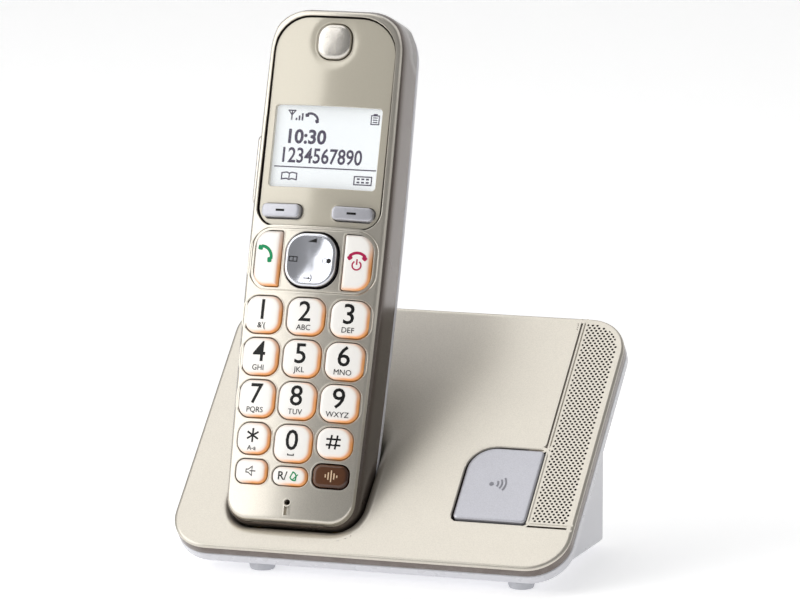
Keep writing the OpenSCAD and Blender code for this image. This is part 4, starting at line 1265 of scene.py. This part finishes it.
class NavigationKey(bpy.types.Operator):
    """Build the dished silver navigation key with its four marks"""
    bl_idname = "deskphone.navigation_key"
    bl_label = "Navigation key"

    def execute(self, context):
        low, high = HANDSET.box("nav_key", above=-3)
        x, y = ((low + high) / 2)[:2]
        top = high[2]
        circles = key_outline("nav_key", RADII["nav_key"])
        rim = [(-0.3, -2.4), (0.0, -1.2), (0.0, top - 0.7), (0.1, top - 0.35), (0.35, top - 0.1),
               (0.8, top), (1.3, top - 0.06), (2.2, top - 0.24), (3.4, top - 0.42)]
        key = Piece("nav_key_cap", HANDSET, "nav_key")
        rings = closed(sections(circles, rim, 12, 2), False, True, -0.3, 6)
        key.loft(rings, "nav_silver")
        for flat, faces in self.marks(x, y):
            r = np.hypot(flat[:, 0] - x, flat[:, 1] - y)
            level = np.interp(r, [0, 5.3, 6.5, 7.4, 8.7], top - np.array([0.72, 0.42, 0.24, 0.06, 0]))
            key.flat(np.column_stack([flat, level + 0.06]), faces, "print_black")
        key.make(KEY_SMOOTH, ("nav_key",))
        return {"FINISHED"}

    def marks(self, x, y):
        """Rising wedge above, open book on the left, two rings on the right, arrow below."""
        yield patch([(-1.5, -0.35), (1.5, -0.55), (1.5, 0.75), (1.2, 0.75)], x + 0.2, y + 6.3)
        for side in (-1, 1):
            leaf = [(0, -0.75), (side * 1.3, -0.75), (side * 1.3, 0.75), (0, 0.75)]
            yield stroke(leaf, 0.28, x - 5.9, y)
        yield stroke([(0, -0.9), (0, 0.9)], 0.26, x - 5.9, y)
        yield stroke(outline(box_corners(1.61, 1.61, 0.8)), 0.16, x + 5.0, y - 0.1, True)
        yield disc(0.85, x + 6.5, y - 0.1)
        yield stroke([(-1.5, 0), (0.3, 0)], 0.3, x - 0.2, y - 6.1)
        yield patch([(0.1, -0.5), (0.9, 0), (0.1, 0.5)], x - 0.2, y - 6.1)
        yield stroke(curve((-0.8, 0, 2.0, -35, 35), steps=8), 0.3, x - 0.2, y - 6.1)


class VolumeRocker(bpy.types.Operator):
    """Build the silver rocker on the handset's left side"""
    bl_idname = "deskphone.volume_rocker"
    bl_label = "Volume rocker"

    def execute(self, context):
        low, high = HANDSET.box("volume_key")
        centre = [low[0], (low[1] + high[1]) / 2, (low[2] + high[2]) / 2]
        side = HANDSET.moved(centre, np.array([0.0, 0.0, 1.0]), UP)
        length_y = high[1] - low[1] - 2.6
        rocker = Piece("volume_rocker", side, "volume_key")
        circles = box_corners(high[2] - low[2], length_y, 2.0)
        profile = [(0, -3.6), (0, -0.8), (0.1, -0.4), (0.4, -0.12), (0.9, -0.02)]
        rocker.loft(pillow(circles, profile, -0.12, steps=8, along=4), "silver")
        plus, minus, arm = 8.2, -8.2, 1.2
        for path in ([(-arm, plus), (arm, plus)], [(0, plus - arm), (0, plus + arm)],
                     [(-arm, minus), (arm, minus)]):
            rocker.flat(*self.raised(stroke(path, 0.35)), "print_black")
        rocker.make(KEY_SMOOTH, ("volume_key",))
        trim = Piece("volume_surround", side, "handset")
        half = (FOOT_W + (TOP_W - FOOT_W) * centre[1] / LENGTH) / 2

        def wall(x, y):
            return low[0] + half + (TOP_W - FOOT_W) / 2 / LENGTH * y
        edge = [(-0.8, -0.02), (-0.62, 0.05), (-0.4, 0.05), (-0.3, 0.01)]
        # The surround's darker lacquer is painted shade.
        trim.loft(sections(circles, edge, 8, 4, wall), "band")
        # The ring inside the surround is a painted dark gap laid on the surface, not a hole.
        trim.loft(sections(circles, [(-0.32, 0.03), (0.2, 0.02)], 8, 4, wall), "dark_gap")
        trim.make()
        return {"FINISHED"}

    def raised(self, mark):
        """A mark laid on the rocker's face."""
        flat, faces = mark
        return np.column_stack([flat, np.full(len(flat), -0.07)]), faces


def plate_outline():
    """Corner circles of the sloping plate."""
    return box_corners(PLATE_W, PLATE_L, PLATE_R, (0, PLATE_L / 2))


def pocket(x, y, w=0.0):
    """How far a point of the plate's axes is from the handset's body: the largest of its
    distances in the front view, the cross section and the side view."""
    spots = np.stack(np.broadcast_arrays(x, y, w), -1)
    a, b, c = np.moveaxis(HANDSET.local(PLATE.place(spots)), -1, 0)
    half = TOP_W / 2
    across = np.array([[half - 7, 7 - DEPTH, 7], [half - 2.5, -2.5, 2.5],
                       [2.5 - half, -2.5, 2.5], [7 - half, 7 - DEPTH, 7]])
    beside = np.array([[LENGTH - 9, 9 - DEPTH, 9], [LENGTH - 4, -4, 4], [3, -3, 3],
                       [9, 9 - DEPTH, 9]])
    front = distance(front_outline(), a, b)
    return np.maximum(np.maximum(front, distance(across, a, c)), distance(beside, b, c))


def locator_outline():
    """Corner circles of the locator button, its upper left corner much rounder."""
    low, high = PLATE.box("locator_button", above=-3)
    centre = (low + high) / 2
    return box_corners(high[0] - low[0], high[1] - low[1], (1.5, 1.5, 9, 1.5), centre[:2])


def strip_outline():
    """Corner circles of the perforated strip, which follows the plate's upper right corner."""
    low, high = PLATE.box("grille_strip")
    corner = plate_outline()[1] - [0, 0, PLATE_W / 2 - high[0]]
    return np.array([[high[0] - 0.6, low[1] + 0.6, 0.6], corner,
                     [low[0] + 0.6, high[1] - 0.6, 0.6], [low[0] + 0.6, low[1] + 0.6, 0.6]])


def groove_paths():
    """The plate's grooves: beside the strip and round to the button, and below the strip."""
    strip_low, strip_high = PLATE.box("grille_strip")
    low, high = PLATE.box("locator_button", above=-3)
    side = strip_low[0] - 0.7
    top = high[1] + 0.9
    down = curve((side, PLATE_L - 0.4), (side, PLATE_L - 3), (side - 2.6, top + 2.6, 2.6, 0, -90),
                 (high[0] - 6, top))
    across = curve((high[0] + 0.2, strip_low[1] - 0.75), (PLATE_W / 2 - 0.4, strip_low[1] - 0.75))
    return down, across


def path_distance(path, x, y):
    """Distance from points to a line of straight parts."""
    found = np.full(x.shape, 1e9)
    for a, b in zip(path[:-1], path[1:]):
        d = b - a
        t = np.clip(((x - a[0]) * d[0] + (y - a[1]) * d[1]) / (d @ d), 0, 1)
        found = np.minimum(found, np.hypot(x - a[0] - t * d[0], y - a[1] - t * d[1]))
    return found


class Plate(bpy.types.Operator):
    """Build the sloping plate with its edge band painted dark as shade, its grooves and the handset's
    pocket
    """
    bl_idname = "deskphone.plate"
    bl_label = "Plate"

    def execute(self, context):
        shell = Piece("base_plate_shell", PLATE, "base")
        edge = [(1.2, -BAND_T + 0.05), (0.2, -BAND_T + 0.05), (0, 0.25 - BAND_T), (0, -1.0)]
        top = [(0, -1.0), (0.1, -0.6), (0.35, -0.25), (0.75, -0.05), (1.3, 0.015), (2.3, -0.01)]
        # The edge band's darker lacquer is painted shade.
        shell.loft(sections(plate_outline(), edge, 12), "band")
        shell.loft(sections(plate_outline(), top, 12), "champagne_plate")
        locator = locator_outline()
        strip = strip_outline()
        openings = [lambda x, y: pocket(x, y) - 2.9,
                    lambda x, y: distance(locator, x, y) - LOCATOR_GAP,
                    lambda x, y: distance(strip, x, y) - STRIP_GAP]
        half = mm(sizes().groove) / 2
        cut = [(-half - 0.75, -0.01), (-half - 0.5, 0.02), (-half - 0.1, 0.02), (-half, -0.06),
               (-half * 0.7, -0.5), (half * 0.7, -0.5), (half, -0.04), (half + 0.12, 0.04),
               (half + 0.5, 0.03), (half + 0.75, -0.01)]
        for path in groove_paths():
            shell.grid(ribbon(path, cut[:5]), "champagne_plate")
            # The floor of each groove is painted shade, in the band's darker lacquer.
            shell.grid(ribbon(path, cut[4:6]), "band")
            shell.grid(ribbon(path, cut[5:]), "champagne_plate")
            openings.append(lambda x, y, p=path: path_distance(p, x, y) - half - 0.05)
        points, keep = sheet(plate_outline(), 1.8, PLATE_CELL, lambda x, y: np.zeros(x.shape),
                             openings)
        shell.grid(points, "champagne_plate", keep)
        wide = [(1.1, -0.01), (0.9, 0.02), (0.45, 0.03), (0.2, -0.04), (0.05, -0.2), (0, -0.5)]
        shell.loft(lip(locator, LOCATOR_GAP, 0.6, profile=wide), "champagne_plate")
        # The moat round the locator is painted shade.
        moat = [(-LOCATOR_GAP, -0.6), (-0.8, -1.1), (-0.5, -1.3), (-0.3, -3.0), (0.3, -3.0)]
        shell.loft(sections(locator, moat), "dark_gap")
        slim = [(0.75, -0.01), (0.5, 0.02), (0.25, 0.02), (0.08, -0.05), (0, -0.2)]
        shell.loft(lip(strip, STRIP_GAP, 0.9, profile=slim), "champagne_plate")
        self.build_pocket(shell)
        shell.make(replaces=("base_top_cover",))
        return {"FINISHED"}

    def build_pocket(self, shell):
        """The pocket: level lines of the handset's shape, at one depth each, rounded at the rim."""
        gap = mm(sizes().pocket_gap)
        start = PLATE.local(HANDSET.place(np.zeros(3)))
        rim = [(3.7, -0.01), (3.3, 0.02), (2.4, 0.0), (1.7, -0.16), (1.1, -0.5), (0.75, -1.0),
               (gap, -1.9)]
        deep = [(gap, w) for w in (-3.5, -6, -8.5, -11, -13, -14.4, -15.3, -15.9)]
        rings = []
        for level, w in rim + deep:
            centre = (start[0], start[1] + POCKET_Y + POCKET_LEAN * w)
            xy = around(lambda x, y: pocket(x, y, w), centre, level, 144)
            rings.append(np.column_stack([xy, np.full(len(xy), w)]))
        shell.loft(np.array(rings[:len(rim)]), "champagne_plate")
        shell.loft(closed(np.array(rings[len(rim) - 1:])), "champagne_inner")


class Strip(bpy.types.Operator):
    """Build the perforated strip: one tile for each hole, from its square rim in to a circle"""
    bl_idname = "deskphone.strip"
    bl_label = "Perforated strip"

    def execute(self, context):
        circles = strip_outline()
        pitch, row = mm(sizes().hole_pitch), mm(sizes().row_pitch)
        radius = mm(sizes().hole) / 2
        low, high = PLATE.box("grille_strip")
        rows = np.arange(low[1] - row, high[1] + row, row)
        columns = np.arange(low[0] - pitch, high[0] + pitch, pitch)
        x, y = np.meshgrid(columns, rows)
        x = x + pitch / 2 * (np.arange(len(rows)) % 2)[:, None] + 0.2
        centres = np.stack([x.ravel(), y.ravel()], 1)
        centres = centres[distance(circles, centres[:, 0], centres[:, 1]) < pitch * 0.8]
        pierced = distance(circles, centres[:, 0], centres[:, 1]) < -0.62
        corner = np.array([[1, 0], [1, 1], [0, 1], [-1, 1], [-1, 0], [-1, -1], [0, -1], [1, -1]])
        a = np.radians(np.arange(8) * 45)
        around_hole = np.stack([np.cos(a), np.sin(a)], 1)
        rings = np.array([corner * [pitch / 2, row / 2], around_hole * radius * 1.06,
                          around_hole * radius * 0.94, around_hole * radius * 0.9,
                          around_hole * 0.0])
        z = np.array([0.0, 0.0, -0.07, -0.6, -0.6])
        share = np.where(pierced, 1.0, 0.0)[:, None, None]
        points = np.zeros((len(centres), 5, 8, 3))
        points[..., :2] = centres[:, None, None]
        points[:, 0, :, :2] += rings[0]
        points[:, 1:, :, :2] += rings[1:] * share[..., None]
        points[..., 2] = z[None, :, None] * share
        left, right = bounds_of(circles, 0.3, points[..., 1].ravel())
        shape = points.shape[:3]
        points[..., 0] = np.clip(points[..., 0], left.reshape(shape), right.reshape(shape))
        points[..., 1] = np.clip(points[..., 1], low[1] + 0.3, high[1] - 0.3)
        strip = Piece("grille_strip_skin", PLATE, "base")
        strip.tiles(points[:, :3], "champagne_plate")
        # The insides of the holes are painted shade.
        strip.tiles(points[pierced][:, 2:], "dark_gap")
        edge = [(0.0, -0.7), (0.0, -0.12), (0.1, -0.02), (0.25, 0.01), (0.45, -0.004)]
        strip.loft(sections(circles, edge, 12), "champagne_plate")
        strip.make(replaces=("grille_strip",))
        return {"FINISHED"}


class Locator(bpy.types.Operator):
    """Build the silver locator button with its raised signal mark"""
    bl_idname = "deskphone.locator"
    bl_label = "Locator button"

    def execute(self, context):
        circles = locator_outline()
        low, high = PLATE.box("locator_button", above=-3)
        top = high[2]
        profile = [(0.0, -3.0), (0.0, top - 0.6), (0.08, top - 0.3), (0.3, top - 0.08),
                   (0.8, top), (1.6, top)]
        button = Piece("locator_button_cap", PLATE, "locator_button")
        button.loft(pillow(circles, profile, -0.15, steps=12, along=3), "silver_soft")
        middle = (low + high) / 2
        x, y = middle[0] + 0.4, middle[1] + 0.2
        marks = [disc(0.75, x - 2.9, y - 0.2)]
        for radius in (1.9, 3.2, 4.5):
            marks.append(stroke(curve((-2.6, 0, radius, -33, 33), steps=10), 0.6, x, y))
        for flat, faces in marks:
            r = np.hypot(flat[:, 0] - middle[0], flat[:, 1] - middle[1])
            level = top - 0.15 * (1 - np.clip(r / 12, 0, 1) ** 2) + 0.09
            button.flat(np.column_stack([flat, level]), faces, "mark_grey")
        button.make(KEY_SMOOTH, ("locator_button",))
        return {"FINISHED"}


LEG_IN = 10.0                                  # From the plate's sides to the leg's
LEG_FRONT = 7.3                                # From the plate's front edge to the leg
LEG_REAR = 17                                  # Which of the outline's parts is the rear wall


class Housing(bpy.types.Operator):
    """Build the white lip under the plate and the leg with its openings for both sockets"""
    bl_idname = "deskphone.housing"
    bl_label = "Housing"

    def execute(self, context):
        shell = Piece("base_housing_shell", PLATE, "base")
        lip_rings = [(2.4, -SLAB_T), (1.5, 0.02 - SLAB_T), (0.7, 0.2 - SLAB_T), (0.2, 0.6 - SLAB_T),
                     (0.0, 1.2 - SLAB_T), (0.0, -BAND_T - 0.4), (0.3, -BAND_T - 0.15),
                     (1.4, -BAND_T - 0.12)]
        shell.loft(sections(plate_outline(), lip_rings, 12), "white_shell")
        under = PLATE.moved([0, 0, -SLAB_T], -ACROSS, UP)

        def clear(x, y):
            return pocket(-x, y, -SLAB_T) - 1.2
        points, keep = sheet(plate_outline(), 1.9, 1.2, lambda x, y: np.full(x.shape, -0.02), [clear])
        shell.grid(points, "white_underside", keep, axes=under)
        self.build_leg(shell)
        shell.make(replaces=("base_rear_housing",))
        return {"FINISHED"}

    def leg_outline(self):
        """Corner circles of the leg in plan."""
        half = PLATE_W / 2 - LEG_IN
        front, back = PLATE.origin[1] + LEG_FRONT, HOUSING_HIGH[1]
        return np.array([[half - 3, front + 3, 3], [half - 5, back - 5, 5],
                         [5 - half, back - 5, 5], [3 - half, front + 3, 3]])

    def under_slab(self, y):
        """Height of the slab's underside over a distance y from front to back."""
        slope = PLATE.turn[1]
        depth = 0.6 - SLAB_T
        return PLATE.origin[2] + ((y - PLATE.origin[1]) * slope[2] + depth) / slope[1]

    def build_leg(self, shell):
        """The leg: its plan carried up in equal shares of the height to the slab's underside."""
        circles = self.leg_outline()
        floor = HOUSING_LOW[2]
        foot = [(2.2, floor), (1.2, floor + 0.02), (0.5, floor + 0.25), (0.1, floor + 0.7),
                (0.0, floor + 1.1)]
        rings = list(sections(circles, foot))
        start = rings[-1]
        above = self.under_slab(start[:, 1])
        for share in np.linspace(0, 1, 8)[1:]:
            ring = start.copy()
            ring[:, 2] += (above - start[:, 2]) * share
            rings.append(ring)
        rings = np.array(rings)
        keep = np.ones((len(rings) - 1, rings.shape[1]), bool)
        keep[len(foot) - 1:, LEG_REAR] = False
        shell.grid(rings, "white_shell", keep, loop=True, axes=ROOM)
        back = HOUSING_HIGH[1]
        rear = ROOM.moved([0, back, 0], -ACROSS, np.array([0.0, 0.0, 1.0]))
        half = PLATE_W / 2 - LEG_IN - 5
        low, high = floor + 1.1, self.under_slab(back)
        wall = box_corners(2 * half, high - low, 0.2, (0, (low + high) / 2))
        sockets = []
        for node in ("dc_jack", "line_jack"):
            a, b = rear.box(node)
            sockets.append(box_corners(b[0] - a[0] + 0.5, b[1] - a[1] + 0.5, 0.8,
                                       ((a[0] + b[0]) / 2, (a[1] + b[1]) / 2)))
        openings = [lambda x, y, c=c: distance(c, x, y) - 0.05 for c in sockets]
        points, keep = sheet(wall, 0.0, 0.8, lambda x, y: np.full(x.shape, 0.0), openings)
        shell.grid(points, "white_shell", keep, axes=rear)
        edge = [(1.3, 0.0), (1.1, 0.03), (0.5, 0.03), (0.2, -0.05), (0.0, -0.3)]
        for c in sockets:
            shell.loft(lip(c, 0.0, 2.0, profile=edge), "white_shell", axes=rear)
        self.build_bottom(shell, circles, floor)

    def build_bottom(self, shell, circles, floor):
        """The leg's flat underside with the hole of its one screw in sight."""
        under = ROOM.moved([0, 0, floor], ACROSS, np.array([0.0, -1.0, 0.0]))
        flipped = circles[[1, 0, 3, 2]] * [1, -1, 1]
        low, high = under.box("base_screws")
        hole = box_corners(SCREW_WELL, SCREW_WELL, 2.6, (8.0, high[1] - 2.4))

        def clear(x, y):
            return distance(hole, x, y) - 0.05
        points, keep = sheet(flipped, 1.8, 0.9, lambda x, y: np.full(x.shape, -0.01), [clear])
        shell.grid(points, "white_underside", keep, axes=under)
        edge = [(1.3, -0.01), (1.0, 0.02), (0.4, 0.02), (0.15, -0.06), (0.0, -0.3)]
        shell.loft(lip(hole, 0.0, 6.0, profile=edge), "white_underside", axes=under)


class Feet(bpy.types.Operator):
    """Build the four rubber feet: a circle carried down one profile with a ring in it"""
    bl_idname = "deskphone.feet"
    bl_label = "Rubber feet"

    def execute(self, context):
        under = ROOM.moved([0, 0, 0], ACROSS, np.array([0.0, -1.0, 0.0]))
        spots = np.array([v.co[:2] for v in frame["nodes"]["base_feet"].data.vertices]) / MM
        left = spots[:, 0] < 0
        rear = spots[:, 1] > 0
        feet = Piece("base_foot_pads", under, "base")
        deep = HOUSING_LOW[2]
        profile = [(-0.1, -deep - 0.3), (0.0, -deep + 0.2), (0.4, -0.5), (0.65, -0.12),
                   (1.0, 0.0), (1.5, 0.0), (1.6, -0.18), (1.9, -0.18), (2.0, 0.0), (2.4, 0.0)]
        for group in (left & rear, left & ~rear, ~left & rear, ~left & ~rear):
            low, high = spots[group].min(0), spots[group].max(0)
            wide = high[0] - low[0]
            circles = box_corners(wide, wide, wide / 2 - 0.01,
                                  ((low[0] + high[0]) / 2, -(low[1] + high[1]) / 2))
            feet.loft(pillow(circles, profile, 0.0, steps=7), "rubber")
        feet.make(replaces=("base_feet",))
        return {"FINISHED"}


CAD_FINISHES = {
    "base_screws": "steel", "base_circuit_board": "board", "base_shield_can": "tin",
    "base_antenna": "gold", "dc_jack": "black_plastic", "line_jack": "black_plastic",
    "base_charge_contacts": "gold", "locator_switch": "black_plastic", "locator_board": "board",
    "lcd_module": "tin", "receiver_speaker": "black_plastic", "key_mat": "silicone",
    "handset_circuit_board": "board", "handset_antenna": "gold", "microphone": "tin",
    "ringer_speaker": "black_plastic", "battery_cells": "cell_sleeve",
    "battery_contacts": "steel", "handset_screws": "steel", "handset_charge_contacts": "gold",
    "nav_pivot": "black_plastic", "volume_switches": "black_plastic",
}


class InnerParts(bpy.types.Operator):
    """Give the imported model's inner parts, contacts and sockets their finishes"""
    bl_idname = "deskphone.inner_parts"
    bl_label = "Inner parts"

    def execute(self, context):
        for node, finish in CAD_FINISHES.items():
            mesh = frame["nodes"][node].data
            mesh.materials.clear()
            mesh.materials.append(material(finish))
        return {"FINISHED"}


TARGET = (0.0075, -0.0238, 0.0907)             # Where the camera and lights look, in metres


class Stage(bpy.types.Operator):
    """Build the floor, the softboxes and the camera"""
    bl_idname = "deskphone.stage"
    bl_label = "Floor, light and camera"

    def execute(self, context):
        settings = bpy.context.scene.desk_phone_stage
        middle = np.array(TARGET)
        self.build_floor()
        turn, rise = settings.camera_turn, settings.camera_rise
        toward = np.array([math.sin(turn) * math.cos(rise), -math.cos(turn) * math.cos(rise),
                           math.sin(rise)])
        data = bpy.data.cameras.new("camera")
        data.lens = settings.lens
        data.sensor_width = 36
        data.clip_end = 20
        camera = bpy.data.objects.new("camera", data)
        self.aim(camera, middle + toward * settings.camera_distance, middle)
        bpy.context.scene.camera = camera
        power = settings.key_power
        self.softbox("left", (-1.5, -1.25, 1.0), middle, 1.8, 2.0, power)
        self.softbox("overhead", (-0.45, 0.05, 1.6), middle, 1.7, 1.3, power * 0.4)
        world = bpy.data.worlds.new("studio")
        world.use_nodes = True
        world.node_tree.nodes["Background"].inputs["Color"].default_value = (1, 1, 1, 1)
        world.node_tree.nodes["Background"].inputs["Strength"].default_value = 0.26
        bpy.context.scene.world = world
        bpy.context.scene.view_settings.view_transform = "Standard"
        bpy.context.scene.view_settings.look = "None"
        return {"FINISHED"}

    def build_floor(self):
        """A table that bends up into a backdrop: a flat, a quarter circle and a wall."""
        a = np.radians(np.linspace(0, 90, 13))
        y = np.concatenate([[-3.0], 2.5 + 1.5 * np.sin(a), [4.0]])
        z = np.concatenate([[0.0], 1.5 - 1.5 * np.cos(a), [4.0]])
        x = np.linspace(-4, 4, 9)
        points = np.stack([np.broadcast_to(x, (len(y), 9)), np.repeat(y[:, None], 9, 1),
                           np.repeat(z[:, None], 9, 1)], 2) / MM
        floor = Piece("floor", ROOM, None)
        floor.grid(points, "table")
        floor.stand()

    def softbox(self, name, place, at, width, height, power):
        """A rectangular light that looks at a point."""
        data = bpy.data.lights.new(name, "AREA")
        data.shape = "RECTANGLE"
        data.size, data.size_y = width, height
        data.energy = power
        self.aim(bpy.data.objects.new(name, data), np.array(place), at)

    def aim(self, thing, place, at):
        """Puts a camera or a light in its place, looking at a point."""
        bpy.context.scene.collection.objects.link(thing)
        thing.location = place
        look = Vector(at - place)
        thing.rotation_euler = look.to_track_quat("-Z", "Y").to_euler()


# ---- Sidebar and start ---------------------------------------------------------------------

PIECES = (HandsetFront, HandsetBack, BatteryCover, Display, Keys, NavigationKey, VolumeRocker,
          Plate, Strip, Locator, Housing, Feet, InnerParts, Stage)
SETTINGS = (DeskPhoneSizes, DeskPhoneColours, DeskPhoneStage)


class DeskPhonePanel(bpy.types.Panel):
    """Sidebar panel with every setting and every piece."""
    bl_idname = "VIEW3D_PT_desk_phone"
    bl_label = "Desk Phone"
    bl_space_type = "VIEW_3D"
    bl_region_type = "UI"
    bl_category = "Desk Phone"

    def draw(self, context):
        """Lists the settings and one button for each operator."""
        for group in ("desk_phone_sizes", "desk_phone_colours", "desk_phone_stage"):
            box = self.layout.box()
            settings = getattr(context.scene, group)
            for name in settings.bl_rna.properties.keys():
                if name not in ("rna_type", "name"):
                    box.prop(settings, name)
        for piece in PIECES:
            self.layout.operator(piece.bl_idname)


def register():
    """Adds the settings, operators and panel."""
    for item in SETTINGS + PIECES + (DeskPhonePanel,):
        bpy.utils.register_class(item)
    bpy.types.Scene.desk_phone_sizes = PointerProperty(type=DeskPhoneSizes)
    bpy.types.Scene.desk_phone_colours = PointerProperty(type=DeskPhoneColours)
    bpy.types.Scene.desk_phone_stage = PointerProperty(type=DeskPhoneStage)


def unregister():
    """Takes them away again."""
    del bpy.types.Scene.desk_phone_sizes
    del bpy.types.Scene.desk_phone_colours
    del bpy.types.Scene.desk_phone_stage
    for item in reversed(SETTINGS + PIECES + (DeskPhonePanel,)):
        bpy.utils.unregister_class(item)


def main():
    """Builds every piece in order."""
    register()
    for piece in PIECES:
        name = piece.bl_idname.split(".")[1]
        getattr(bpy.ops.deskphone, name)()


if __name__ == "__main__":
    main()
